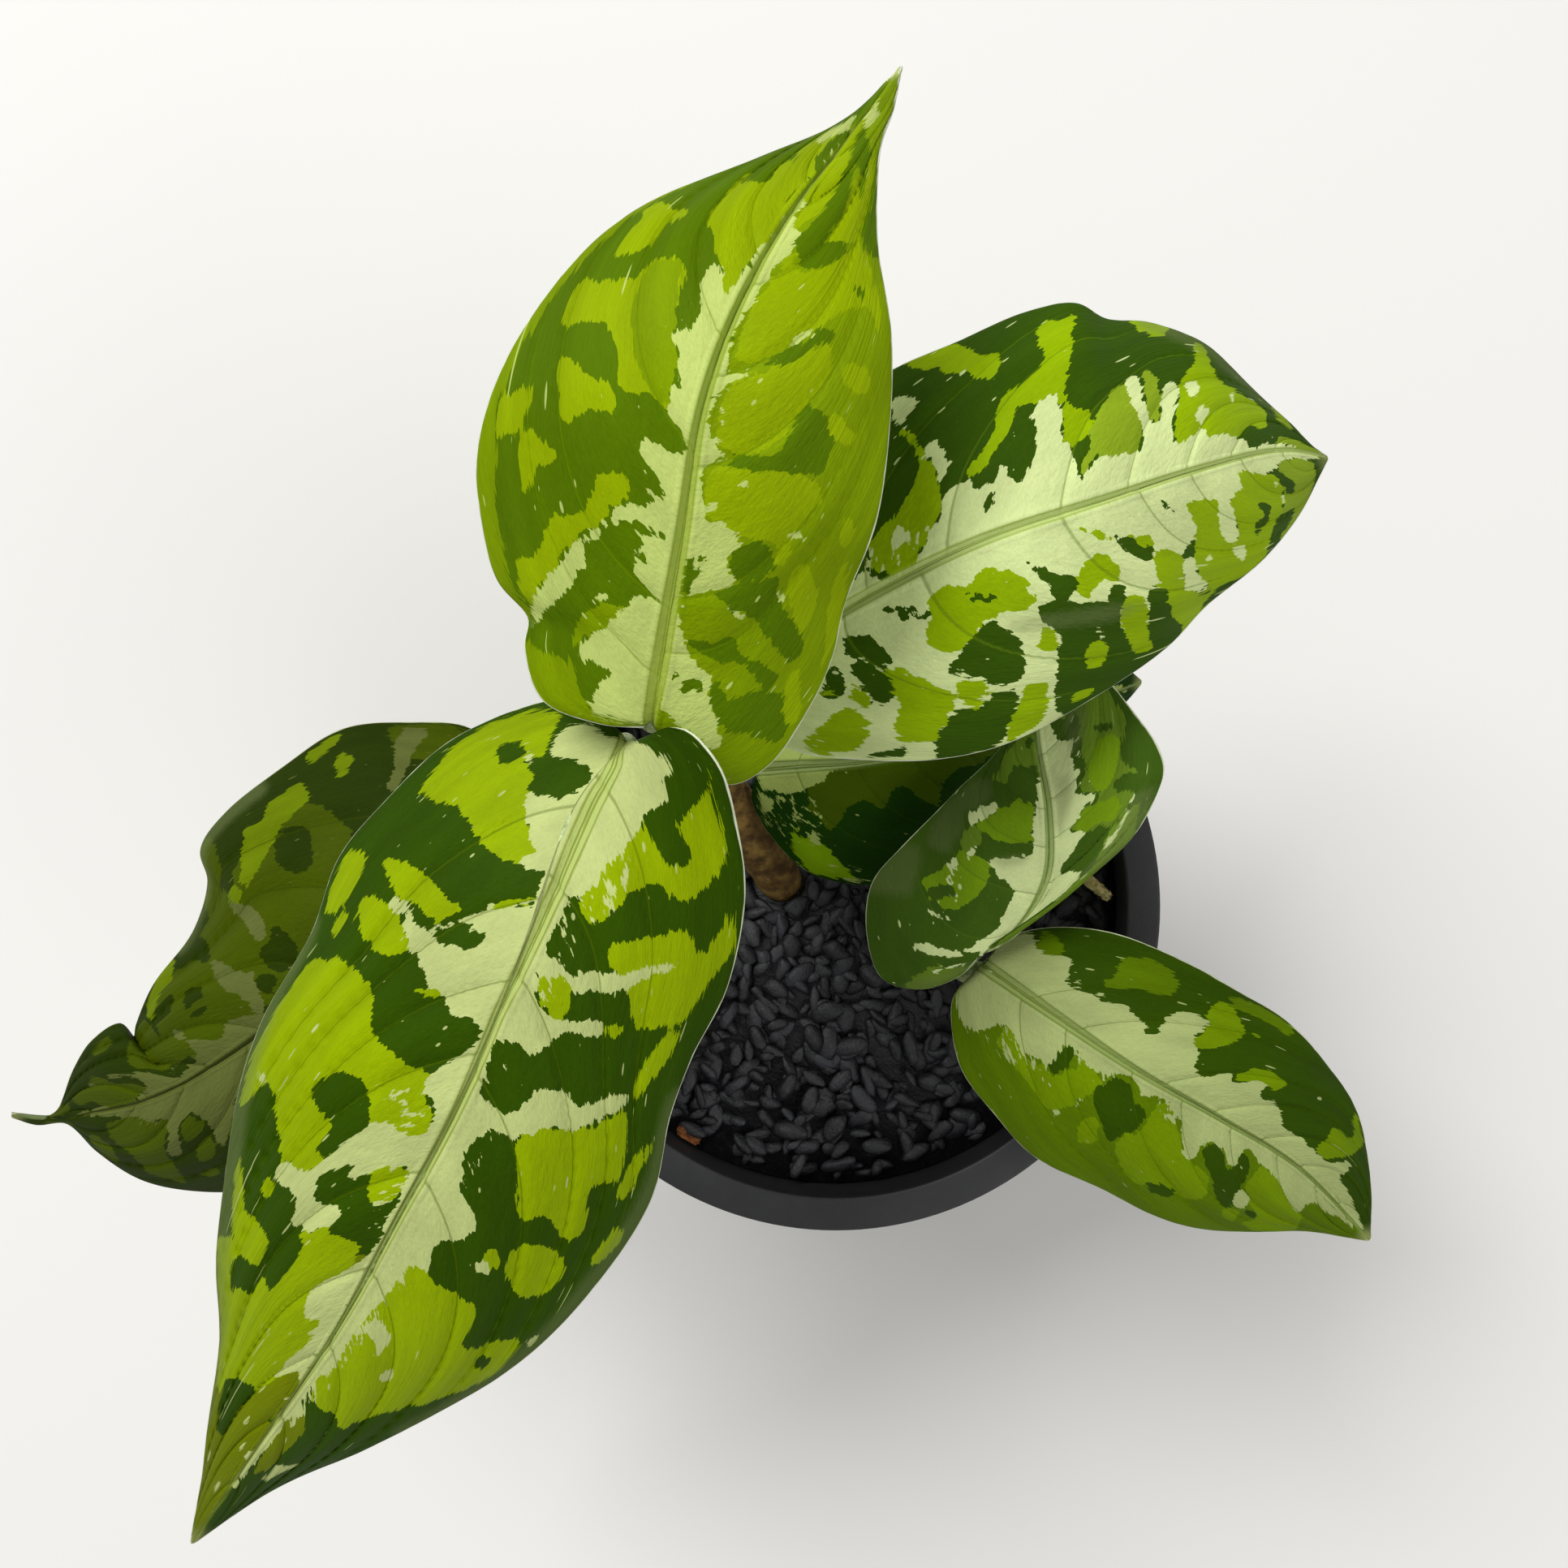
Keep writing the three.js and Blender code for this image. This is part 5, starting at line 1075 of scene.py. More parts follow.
def to_linear(rgb):
    """An 8-bit colour as the shader's own linear one."""
    shares = [c / 255 for c in rgb]
    return tuple(c / 12.92 if c <= 0.04045 else ((c + 0.055) / 1.055) ** 2.4 for c in shares) + (1.0,)


class Shading:
    """Short names for building one material's nodes."""

    def __init__(self, name, roughness, specular):
        self.material = bpy.data.materials.new(name)
        self.material.use_nodes = True
        self.tree = self.material.node_tree
        self.surface = self.tree.nodes["Principled BSDF"]
        self.surface.inputs["Roughness"].default_value = roughness
        self.surface.inputs["Specular IOR Level"].default_value = specular

    def put(self, socket, value):
        if isinstance(value, bpy.types.NodeSocket):
            self.tree.links.new(value, socket)
        else:
            socket.default_value = value

    def node(self, kind, *values, **settings):
        """A new node with its settings, and with values for its first sockets."""
        made = self.tree.nodes.new("ShaderNode" + kind)
        for name, setting in settings.items():
            setattr(made, name, setting)
        for socket, value in zip(made.inputs, values):
            self.put(socket, value)
        return made

    def number(self, name):
        return self.node("Attribute", attribute_name=name).outputs["Fac"]

    def vector(self, name):
        return self.node("Attribute", attribute_name=name).outputs["Vector"]

    def place(self):
        """The piece's own coordinates in millimetres."""
        return self.scaled(self.node("TexCoord").outputs["Object"], (1 / MM,) * 3)

    def math(self, operation, *values):
        return self.node("Math", *values, operation=operation).outputs[0]

    def parts(self, vector):
        return self.node("SeparateXYZ", vector).outputs

    def scaled(self, vector, by):
        return self.node("VectorMath", vector, by, operation="MULTIPLY").outputs[0]

    def along(self, vector, by, start):
        """start + vector * by"""
        return self.node("VectorMath", vector, by, start, operation="MULTIPLY_ADD").outputs[0]

    def noise(self, vector, scale, detail=3.0, roughness=0.5, color=False):
        node = self.node("TexNoise", vector)
        self.put(node.inputs["Scale"], scale)
        self.put(node.inputs["Detail"], detail)
        self.put(node.inputs["Roughness"], roughness)
        return node.outputs["Color" if color else 0]

    def cells(self, vector, scale):
        node = self.node("TexVoronoi", vector, voronoi_dimensions="2D")
        self.put(node.inputs["Scale"], scale)
        return node.outputs

    def between(self, value, low, high, to_low=0.0, to_high=1.0):
        """Goes smoothly from to_low to to_high while the value goes from low to high."""
        node = self.node("MapRange", value, low, high, to_low, to_high, interpolation_type="SMOOTHSTEP")
        return node.outputs[0]

    def mix(self, share, a, b):
        """Colour a with a share of colour b, each a socket or an 8-bit colour."""
        node = self.node("Mix", share, data_type="RGBA")
        for index, color in ((6, a), (7, b)):
            is_socket = isinstance(color, bpy.types.NodeSocket)
            self.put(node.inputs[index], color if is_socket else to_linear(color))
        return node.outputs[2]

    def brightness(self, color, factor):
        node = self.node("HueSaturation")
        self.put(node.inputs["Value"], factor)
        self.put(node.inputs["Color"], color)
        return node.outputs[0]

    def color(self, value):
        self.put(self.surface.inputs["Base Color"], value)

    def bump(self, height, distance):
        node = self.node("Bump")
        self.put(node.inputs["Distance"], distance * MM)
        self.put(node.inputs["Height"], height)
        self.put(self.surface.inputs["Normal"], node.outputs[0])


def jagged_tones(s, grain, colors):
    """The four tones of a leaf: each point takes the tone whose field, with noise on it, is the largest."""
    drawn_out = s.scaled(grain, (0.4, 1.0, 1.0))
    wander = s.noise(grain, 0.4, roughness=0.6, color=True)
    streaks = s.noise(drawn_out, 1.3, roughness=0.6, color=True)
    fields = s.along(wander, (WANDER,) * 3, s.along(streaks, (STREAK,) * 3, s.vector("fields")))
    pale, lime, dark = s.parts(fields)
    other_wander = s.noise(s.scaled(grain, (1, 1, -1)), 0.4, roughness=0.6)
    other_streaks = s.noise(s.scaled(drawn_out, (1, 1, -1)), 1.3, roughness=0.6)
    best = s.math("MULTIPLY_ADD", other_wander, WANDER, s.number("field_mid"))
    best = s.math("MULTIPLY_ADD", other_streaks, STREAK, best)
    color = colors["mid"]
    for tone, field in (("lime", lime), ("dark", dark), ("pale", pale)):
        share = s.between(s.math("SUBTRACT", field, best), -TONE_EDGE, TONE_EDGE)
        color = s.mix(share, color, colors[tone])
        best = s.math("MAXIMUM", best, field)
    return color


def specks(s, grain):
    """Where small pale specks lie, about one to each cell of 5 mm, some of them too small to show."""
    cells = s.cells(grain, 0.2)
    size = s.math("MULTIPLY_ADD", s.parts(cells["Color"])[0], 0.13, -0.055)
    return s.between(s.math("SUBTRACT", cells["Distance"], size), -0.01, 0.01, SPECK_SHARE, 0.0)


def rib_shade(s, grain, rib, colors):
    """The midrib's colour, with wavering lines along it."""
    wavering = s.math("MULTIPLY_ADD", s.noise(s.scaled(grain, (1.5, 0.08, 1.0)), 1.0, detail=2.0), 0.3, rib)
    lines = s.between(s.math("COSINE", s.math("MULTIPLY", wavering, RIB_LINES)), -0.2, -0.9)
    return s.mix(s.math("MULTIPLY", lines, RIB_SHARE), colors["rib"], colors["mid"])


def leaf_top_material(name, colors):
    """A leaf's upper side: its tones, specks, painted uneven light, painted sheen, side veins with painted
    crease shade, rib, painted tip highlight and white margin, in that order.
    """
    s = Shading(name, roughness=0.5, specular=0.03)
    grain = s.vector("grain")
    rim, rib, length = s.parts(s.vector("traits"))
    color = s.mix(specks(s, grain), jagged_tones(s, grain, colors), colors["pale"])

    # Painted uneven light: the colour is made lighter and darker in broad patches, with a fine speckle over
    # them
    patches = s.noise(grain, 0.11, detail=2.0)
    speckle = s.noise(s.scaled(grain, (0.7, 1.0, 1.0)), 2.6, detail=4.0, roughness=0.65)
    broad_uneven_light, fine_uneven_light = s.between(patches, 0.3, 0.7, 0.88, 1.06), s.between(speckle, 0.3, 0.7, -0.05, 0.05)
    color = s.brightness(color, s.math("ADD", broad_uneven_light, fine_uneven_light))

    # Painted sheen: a dull grey-green reflection painted where the blade bends away or is creased
    sheen = s.math("MULTIPLY_ADD", speckle, 2.0, s.number("painted_sheen"))
    color = s.mix(s.between(sheen, 0.0, 2.0, 0.0, PAINTED_SHEEN_SHARE), color, PAINTED_SHEEN)

    # Painted shade in the creases of the side veins, over their own darker green
    vein_crease_shade_color = [(mid + dark) / 2 for mid, dark in zip(colors["mid"], colors["dark"])]
    vein_crease_shade = s.between(s.math("PINGPONG", s.number("panel"), 0.5), 0.006, 0.03, VEIN_CREASE_SHADE_SHARE, 0.0)
    color = s.mix(s.math("MULTIPLY", vein_crease_shade, s.between(rim, 1.5, 4.0)), color, vein_crease_shade_color)

    color = s.mix(s.between(rib, 0.95, 1.2, RIB_SHARE, 0.0), color, rib_shade(s, grain, rib, colors))
    # Painted highlight at the tip: a glow of backlight on leaf_top, a grey sheen on the other leaves
    color = s.mix(s.between(length, TIP_HIGHLIGHT_START, 1.0), color, colors["tip"])

    ragged = s.math("MULTIPLY_ADD", s.noise(grain, 0.35, detail=2.0), 0.4, -0.2)
    at_margin = s.between(s.math("ADD", rim, ragged), 0.15, 0.35, 1.0, 0.0)
    s.color(s.mix(at_margin, color, colors["margin"]))
    s.bump(s.math("ADD", speckle, s.math("MULTIPLY", s.noise(grain, 0.9, detail=2.0), 1.5)), 0.12)
    return s.material


def leaf_under_material(name, colors):
    s = Shading(name, roughness=0.6, specular=0.3)
    place = s.place()
    patches = s.between(s.noise(place, 0.09, detail=4.0, roughness=0.6), 0.44, 0.56)
    s.color(s.mix(patches, colors["under"], colors["under_pale"]))
    s.bump(s.noise(place, 0.8), 0.15)
    return s.material


def stalk_material(name, colors):
    s = Shading(name, roughness=0.45, specular=0.4)
    place = s.place()
    streaks = s.between(s.noise(s.scaled(place, (1, 1, 0.25)), 0.6, detail=4.0, roughness=0.6), 0.42, 0.6)
    s.color(s.mix(streaks, colors["stalk"], colors["stalk_pale"]))
    s.bump(s.noise(s.scaled(place, (1, 1, 0.2)), 1.2, detail=2.0), 0.12)
    return s.material


def floor_material():
    s = Shading("pale_floor", roughness=0.9, specular=0.2)
    s.color(to_linear(FLOOR_COLOR))
    return s.material


def pot_material():
    s = Shading("pot_plastic", roughness=0.52, specular=0.45)
    place = s.place()
    dust = s.between(s.noise(place, 0.05, detail=5.0, roughness=0.65), 0.4, 0.75)
    s.color(s.mix(dust, *POT_COLORS))
    s.bump(s.noise(place, 3.5, detail=2.0), 0.03)
    return s.material


def gravel_material():
    s = Shading("black_gravel", roughness=0.5, specular=0.5)
    place = s.place()
    dust = s.between(s.noise(place, 0.7, detail=4.0, roughness=0.6), 0.5, 0.75, 0.0, 0.3)
    s.color(s.mix(dust, s.mix(s.number("tone"), *GRAVEL_COLORS), GRAVEL_DUST))
    s.bump(s.noise(place, 1.6, detail=4.0, roughness=0.6), 0.25)
    return s.material


def soil_material():
    s = Shading("potting_mix", roughness=0.95, specular=0.2)
    lumps = s.noise(s.place(), 0.5, detail=6.0, roughness=0.65)
    s.color(s.mix(s.between(lumps, 0.35, 0.7), *SOIL_COLORS))
    s.bump(lumps, 1.2)
    return s.material


def bark_material(name):
    """Fibrous bark in two colours, darker where the piece's scar values are high."""
    dark, light, scale, relief = BARKS[name]
    s = Shading(name, roughness=0.82, specular=0.3)
    fibres = s.noise(s.scaled(s.place(), (1, 1, 0.5)), scale, detail=6.0, roughness=0.65)
    color = s.mix(s.between(fibres, 0.35, 0.68), dark, light)
    s.color(s.mix(s.math("MULTIPLY", s.number("scar"), 0.45), color, [c * 0.55 for c in dark]))
    s.bump(fibres, relief)
    return s.material


# Marks of the leaves

def patch_outline(points):
    """A patch's outline with its corners cut round, and its long edges split so that they follow the leaf."""
    corners = np.array(points, float) / 100
    split = []
    for start, end in zip(corners, np.roll(corners, -1, axis=0)):
        count = math.ceil(max(np.abs(end - start) / EDGE_STEP + 1e-9))
        split.append(start + (end - start) * (np.arange(count) / count)[:, None])
    corners = np.vstack(split)
    for _ in range(CORNER_CUTS):
        after = np.roll(corners, -1, axis=0)
        corners = np.stack([corners * 0.75 + after * 0.25, corners * 0.25 + after * 0.75], 1).reshape(-1, 2)
    return corners


def signed_distance(x, y, corners):
    """How far each point is inside a closed outline, or outside it as a negative."""
    nearest = np.full(x.shape, 1e9)
    inside = np.zeros(x.shape, bool)
    for (ax, ay), (bx, by) in zip(corners, np.roll(corners, -1, axis=0)):
        ex, ey = bx - ax, by - ay
        along = np.clip(((x - ax) * ex + (y - ay) * ey) / max(ex * ex + ey * ey, 1e-9), 0, 1)
        nearest = np.minimum(nearest, np.hypot(x - ax - along * ex, y - ay - along * ey))
        if by != ay:
            inside ^= ((ay > y) != (by > y)) & (x < ax + (y - ay) / (by - ay) * ex)
    return np.where(inside, nearest, -nearest)


def tone_fields(markings, t, v, blade):
    """One field per tone: how far a point is inside it, in millimetres, when all patches lie in order."""
    x, y = t * blade.length, v * blade.width_at(t, v)
    reach = FIELD_LIMIT
    fields = {tone: np.full(x.shape, -reach) for tone in (*TONES, "painted_sheen")}
    fields[GROUND_TONE] += 2 * reach
    for tone, *points in markings:
        outline = patch_outline(points)
        px = outline[:, 0] * blade.length
        py = outline[:, 1] * blade.width_at(np.clip(outline[:, 0], 0, 1), outline[:, 1])
        near = (x > px.min() - reach) & (x < px.max() + reach)
        near &= (y > py.min() - reach) & (y < py.max() + reach)
        inner = signed_distance(x[near], y[near], np.stack([px, py], 1)).clip(-reach, reach)
        own, others = inner, -inner
        if tone == "fray":
            own = np.minimum(inner, 0) - FRAY_EVEN
            others = -own
            tone = "pale"
        fields[tone][near] = np.maximum(fields[tone][near], own)
        if tone != "painted_sheen":
            for other in TONES:
                if other != tone:
                    fields[other][near] = np.minimum(fields[other][near], others)
    return fields


# Leaves

class Blade:
    """The surface of a leaf: t runs along the midrib, and v across it from the right margin to the left."""

    def __init__(self, leaf, veins, sway):
        self.midrib = curve_through(leaf["midrib"])
        self.left = curve_through(leaf["left"])
        self.right = curve_through(leaf["right"])
        self.veins = veins
        self.sway = np.array(sway)
        self.length = self.midrib.length
        self.size = min(self.length / FULL_LENGTH, 1)

    def to_margin(self, t, v):
        """From the midrib to the margin on the side of v."""
        margin = np.where((v < 0)[..., None], self.right(t**MARGIN_LEAD), self.left(t**MARGIN_LEAD))
        return margin - self.midrib(t)

    def width_at(self, t, v):
        return np.linalg.norm(self.to_margin(t, v), axis=-1)

    def points(self, t, v):
        s = np.abs(v)
        to_margin = self.to_margin(t, v)
        width = np.linalg.norm(to_margin, axis=-1)
        made = self.midrib(t) + to_margin * s[..., None]
        belly = 4 * s * (1 - s)
        ends = np.sqrt(np.maximum(0, np.sin(np.pi * (END_FADE + (1 - END_FADE) * t))))
        made[..., 2] += CROWN * width * belly * ends
        made[..., 2] += WAVE_HEIGHT * ends * s**WAVE_POWER * np.sin(2 * np.pi * WAVES * t + v)
        made[..., 2] += ends * self.relief(t, v, width, belly)
        return made

    def rib(self, t, v, width):
        """Distance from the midrib's channel over its half-width. On some leaves the channel sways aside."""
        off = np.abs(v - np.interp(t, self.sway[:, 0], self.sway[:, 1]))
        return off * width / (RIB_AT_BASE + (RIB_AT_TIP - RIB_AT_BASE) * np.clip(t, 0, 1) ** RIB_TAPER)

    def run(self, t, v):
        """Where the side vein through a point leaves the midrib."""
        s = np.abs(v)
        return t - VEIN_SWEEP[0] * s - VEIN_SWEEP[1] * s**3

    def panel(self, t, v):
        """Counts the side veins from the base: a whole number on each vein, and shares between them."""
        run = self.run(t, v)
        counts = []
        for starts in self.veins:
            places = np.concatenate([[starts[0] - VEIN_RUN_OUT], starts, [starts[-1] + VEIN_RUN_OUT]])
            values = np.concatenate([[0.5], np.arange(1, len(starts) + 1), [len(starts) + 0.5]])
            counts.append(np.interp(run, places, values))
        return np.where(v >= 0, *counts)

    def relief(self, t, v, width, belly):
        """The midrib's channel and ridges, and the quilting between the creases of the side veins."""
        s = np.abs(v)
        rib = self.rib(t, v, width)
        channel = RIDGE_HEIGHT * bell(rib, *RIDGE) - RIB_DEPTH * np.exp(-(rib**2) * RIB_FALL)
        panel = self.panel(t, v)
        off = np.abs(panel - np.round(panel)) * VEIN_SPACING
        crease = bell(off, 0, VEIN_WIDTH) * np.clip(s * 12, 0, 1) * np.clip((0.95 - s) * 6, 0, 1)
        quilt = belly * np.abs(np.sin(np.pi * panel)) ** QUILT_POWER
        return channel + self.size * (QUILT_HEIGHT * quilt - VEIN_DEPTH * crease)


def side_veins(starts, seed):
    """Where the side veins leave the midrib: the ones read off the photograph, then evenly spaced ones."""
    random = np.random.default_rng(seed)
    marks = list(starts)
    while marks[-1] + VEIN_STEP < VEIN_LAST:
        marks.append(marks[-1] + VEIN_STEP * random.uniform(0.85, 1.1))
    return np.array(marks)


def blade_grid():
    """t and v of a blade's rows and columns, which lie closer together at the base, rib and margins."""
    stretches = [np.linspace(start, end, count + 1)[1:] for start, end, count in COLUMN_STRETCHES]
    half = np.concatenate(stretches)
    across = np.concatenate([-half[::-1], [0], half])
    along = np.linspace(0, 1, BLADE_ROWS + 1) ** ROW_CROWDING * (1 - TIP_TRIM)
    return np.meshgrid(along, across, indexing="ij")


def quads(grid, flip):
    """The faces between neighbouring points of a grid of point numbers."""
    a, b, c, d = grid[:-1, :-1], grid[1:, :-1], grid[1:, 1:], grid[:-1, 1:]
    corners = (a, d, c, b) if flip else (a, b, c, d)
    return np.stack(corners, -1).reshape(-1, 4)


def blade_shell(middle, rim):
    """Points and faces of a thin closed blade with a rounded margin, and the count of its upper faces."""
    normal = unit(np.cross(np.gradient(middle, axis=0), np.gradient(middle, axis=1)))
    if normal[..., 2].mean() < 0:
        normal = -normal
    shape = np.sqrt(np.clip(1 - (1 - np.minimum(rim / ROUNDED_MARGIN, 1)) ** 2, 0, 1))
    lift = normal * (HALF_THICKNESS * shape)[..., None]
    points = np.vstack([(middle + lift).reshape(-1, 3), (middle - lift).reshape(-1, 3)])
    order = np.arange(rim.size).reshape(rim.shape)
    under = order + rim.size
    for edge in (np.s_[:, 0], np.s_[:, -1], np.s_[-1, :]):
        under[edge] = order[edge]
    upward = np.cross(middle[1, 1] - middle[0, 1], middle[1, 2] - middle[1, 1])[2] > 0
    top = quads(order, not upward)
    base = np.stack([order[0, :-1], order[0, 1:], under[0, 1:], under[0, :-1]], -1)
    return points, [*top, *quads(under, upward), *(base if upward else base[:, ::-1])], len(top)


def make_stalk(leaf, blade):
    """The stalk, and its keel that runs on under the blade."""
    thick, thin = leaf["radius"]
    shares = np.linspace(0, 1, KEEL_STEPS + 1)[1:] * KEEL_REACH
    radii = thin + (KEEL_END - thin) * shares / KEEL_REACH
    keel = blade.points(shares, np.zeros_like(shares))
    keel[:, 2] -= radii + HALF_THICKNESS * KEEL_DROP
    stem = curve_through(leaf["stalk"])
    route = curve_through([*leaf["stalk"], *keel])
    joint = stem.length / route.length

    def radius_at(share):
        if share < joint:
            return thick + (thin - thick) * (share / joint) ** STALK_TAPER
        return thin + (KEEL_END - thin) * (share - joint) / (1 - joint)

    def channel_at(share):
        return STALK_CHANNEL if share < joint else 0.0

    return tube(route, radius_at, STALK_STEPS, STALK_SIDES, channel_at)


def store_grids(made, stalk_count, values):
    """Stores each grid of values on the top and on the underside alike, and nothing on the stalk."""
    for name, grid in values.items():
        flat = grid.reshape(-1, *grid.shape[2:])
        add_values(made, name, np.concatenate([flat, flat, np.zeros((stalk_count, *flat.shape[1:]))]))


def drop_loose(made):
    """Removes the underside's unused points along the margins."""
    work = bmesh.new()
    work.from_mesh(made.data)
    bmesh.ops.delete(work, geom=[p for p in work.verts if not p.link_faces], context="VERTS")
    work.to_mesh(made.data)
    work.free()


def make_leaf(name, leaf, number):
    look = LOOKS[name]
    veins = [side_veins(starts, 10 * number + side) for side, starts in enumerate(look["veins"])]
    blade = Blade(leaf, veins, look.get("sway", STRAIGHT))
    t, v = blade_grid()
    width = blade.width_at(t, v)
    rim = np.minimum((1 - np.abs(v)) * width, (t[-1, 0] - t) * blade.length)
    points, faces, top_faces = blade_shell(blade.points(t, v), rim)
    stalk_points, stalk_faces = make_stalk(leaf, blade)
    kinds = np.repeat([0, 1, 2], [top_faces, len(faces) - top_faces, len(stalk_faces)])
    faces += [tuple(i + len(points) for i in f) for f in stalk_faces]
    materials = [
        leaf_top_material(name + "_marks", look["colors"]),
        leaf_under_material(name + "_under", look["colors"]),
        stalk_material(name + "_stalk", look["colors"]),
    ]
    made = new_object(name + "_fine", np.vstack([points, stalk_points]), faces, materials, kinds)
    marks = (*MARKINGS[name], MIDRIB_BAND, *SHEENS.get(name, ()))
    tones = tone_fields(marks, t, v, blade)
    offset = np.where(v < 0, HALF_OFFSET, 0.0) + LEAF_OFFSET * number
    store_grids(made, len(stalk_points), {
        "fields": np.stack([tones["pale"], tones["lime"], tones["dark"]], -1),
        "field_mid": tones["mid"],
        "painted_sheen": tones["painted_sheen"],
        "grain": np.stack([v * width, blade.run(t, v) * blade.length, offset], -1),
        "traits": np.stack([rim, blade.rib(t, v, width), t], -1),
        "panel": blade.panel(t, v),
    })
    drop_loose(made)
    stand_in(made, name)


# Pot

def outer_wall(z):
    """Radius of the pot's outside at a height, without its rim."""
    bottom = POT_HEIGHT - RIM_DEPTH
    top = RIM_RADIUS - RIM_WIDTH + WALL
    return FOOT_RADIUS + (top - FOOT_RADIUS) * min(z / bottom, 1)


def inner_wall(z):
    """Radius of the pot's inside at a height."""
    return outer_wall(z) - WALL


def rounded(corners):
    """The corners of a turned outline, each one cut to a small arc."""
    made = [corners[0]]
    for before, corner, after in zip(corners, corners[1:], corners[2:]):
        a, b, c = (np.array(p, float) for p in (before, corner, after))
        back = min(CORNER_RADIUS, 0.45 * np.linalg.norm(a - b), 0.45 * np.linalg.norm(c - b))
        start, end = b + unit(a - b) * back, b + unit(c - b) * back
        for share in np.linspace(0, 1, CORNER_STEPS + 1):
            made.append(tuple((1 - share) ** 2 * start + 2 * share * (1 - share) * b + share**2 * end))
    return made + [corners[-1]]


def make_pot():
    skirt = POT_HEIGHT - RIM_DEPTH
    ring = FOOT_RADIUS - FOOT_RING
    rim = RIM_RADIUS - SKIRT_DRAFT
    outline = rounded([
        (0, FOOT_RECESS),
        (ring, FOOT_RECESS),
        (ring - FOOT_UNDERCUT, 0),
        (FOOT_RADIUS, 0),
        (outer_wall(skirt), skirt),
        (rim - RIM_LIP, skirt),
        (rim, skirt),
        (RIM_RADIUS, POT_HEIGHT),
        (inner_wall(POT_HEIGHT), POT_HEIGHT),
        (inner_wall(skirt), skirt),
        (inner_wall(POT_FLOOR), POT_FLOOR),
        (0, POT_FLOOR),
    ])
    circles = outline[1:-1]
    points, faces = [], []
    for r, z in circles:
        for k in range(POT_SIDES):
            angle = 2 * math.pi * k / POT_SIDES
            points.append((r * math.cos(angle), r * math.sin(angle), z))
    last = (len(circles) - 1) * POT_SIDES
    for low in range(0, last, POT_SIDES):
        high = low + POT_SIDES
        for k in range(POT_SIDES):
            n = (k + 1) % POT_SIDES
            faces.append((low + k, low + n, high + n, high + k))
    under, above = len(points), len(points) + 1
    points += [(0, 0, FOOT_RECESS), (0, 0, POT_FLOOR)]
    for k in range(POT_SIDES):
        n = (k + 1) % POT_SIDES
        faces.append((under, n, k))
        faces.append((above, last + k, last + n))
    made = new_object("pot_fine", points, faces, [pot_material()])
    drill_drains(made)
    made.data.set_sharp_from_angle(angle=math.radians(SHARP_ANGLE))
    stand_in(made, "pot")


def drill_drains(made):
    """Cuts the drain holes through the pot's floor."""
    work = bmesh.new()
    for k in range(DRAIN_HOLES):
        angle = 2 * math.pi * k / DRAIN_HOLES
        drill = bmesh.ops.create_cone(
            work,
            cap_ends=True,
            segments=DRILL_SIDES,
            radius1=DRAIN_RADIUS * MM,
            radius2=DRAIN_RADIUS * MM,
            depth=DRILL_LENGTH * MM,
        )
        place = Vector((DRAIN_CIRCLE * math.cos(angle), DRAIN_CIRCLE * math.sin(angle), 0)) * MM
        bmesh.ops.translate(work, verts=drill["verts"], vec=place)
    mesh = bpy.data.meshes.new("drills")
    work.to_mesh(mesh)
    work.free()
    drills = bpy.data.objects.new("drills", mesh)
    bpy.context.scene.collection.objects.link(drills)
    cut = made.modifiers.new("drains", "BOOLEAN")
    cut.operation = "DIFFERENCE"
    cut.object = drills
    cut.solver = "EXACT"
    bpy.context.view_layer.update()
    shaped = bpy.data.meshes.new_from_object(made.evaluated_get(bpy.context.evaluated_depsgraph_get()))
    made.modifiers.remove(cut)
    made.data = shaped
    bpy.data.objects.remove(drills)
    bpy.data.meshes.remove(mesh)


# Gravel

def pebble_ball():
    """A coarse ball with its poles on the X axis, along which a pebble is long."""
    work = bmesh.new()
    bmesh.ops.create_uvsphere(work, u_segments=12, v_segments=8, radius=1)
    points, faces = ball_of(work)
    return points @ turn_about("y", math.pi / 2).T, faces


def pebble_size(random):
    """Half the length, width and height of a pebble."""
    length = random.uniform(*PEBBLE_LENGTH)
    return length * np.array([1, random.uniform(*PEBBLE_WIDTH), random.uniform(*PEBBLE_HEIGHT)])


def pebble_place(random, number, half, wall, stems):
    """Where a pebble lies, spread evenly and clear of the stems, and how it is turned."""
    yaw = random.uniform(0, math.pi)
    distance = (wall - half[1]) * math.sqrt((number + 0.5) / PEBBLES) * random.uniform(0.97, 1.0)
    golden = math.pi * (3 - math.sqrt(5))
    angle = number * golden + random.uniform(-0.1, 0.1)
    if distance > wall - half[0]:
        yaw = angle + math.pi / 2 + random.uniform(-0.25, 0.25)
    place = np.array([distance * math.cos(angle), distance * math.sin(angle)])
    for middle, radius in stems:
        away = place - middle
        clear = radius + half[1] * STEM_GAP
        if np.linalg.norm(away) < clear:
            place = middle + unit(away) * clear
            yaw = math.atan2(away[1], away[0]) + math.pi / 2
    return place, yaw


def stems_at(z):
    """Middle and radius of each stem where it crosses a level."""
    routes = [(cane["route"], max(cane["radius"])) for cane in CANES.values()]
    made = []
    for route, radius in [*routes, (STUB, max(STUB_RADIUS))]:
        line = curve_through(route)(np.linspace(0, 1, 200))
        nearest = line[np.argmin(np.abs(line[:, 2] - z))]
        made.append((nearest[:2], radius))
    return made


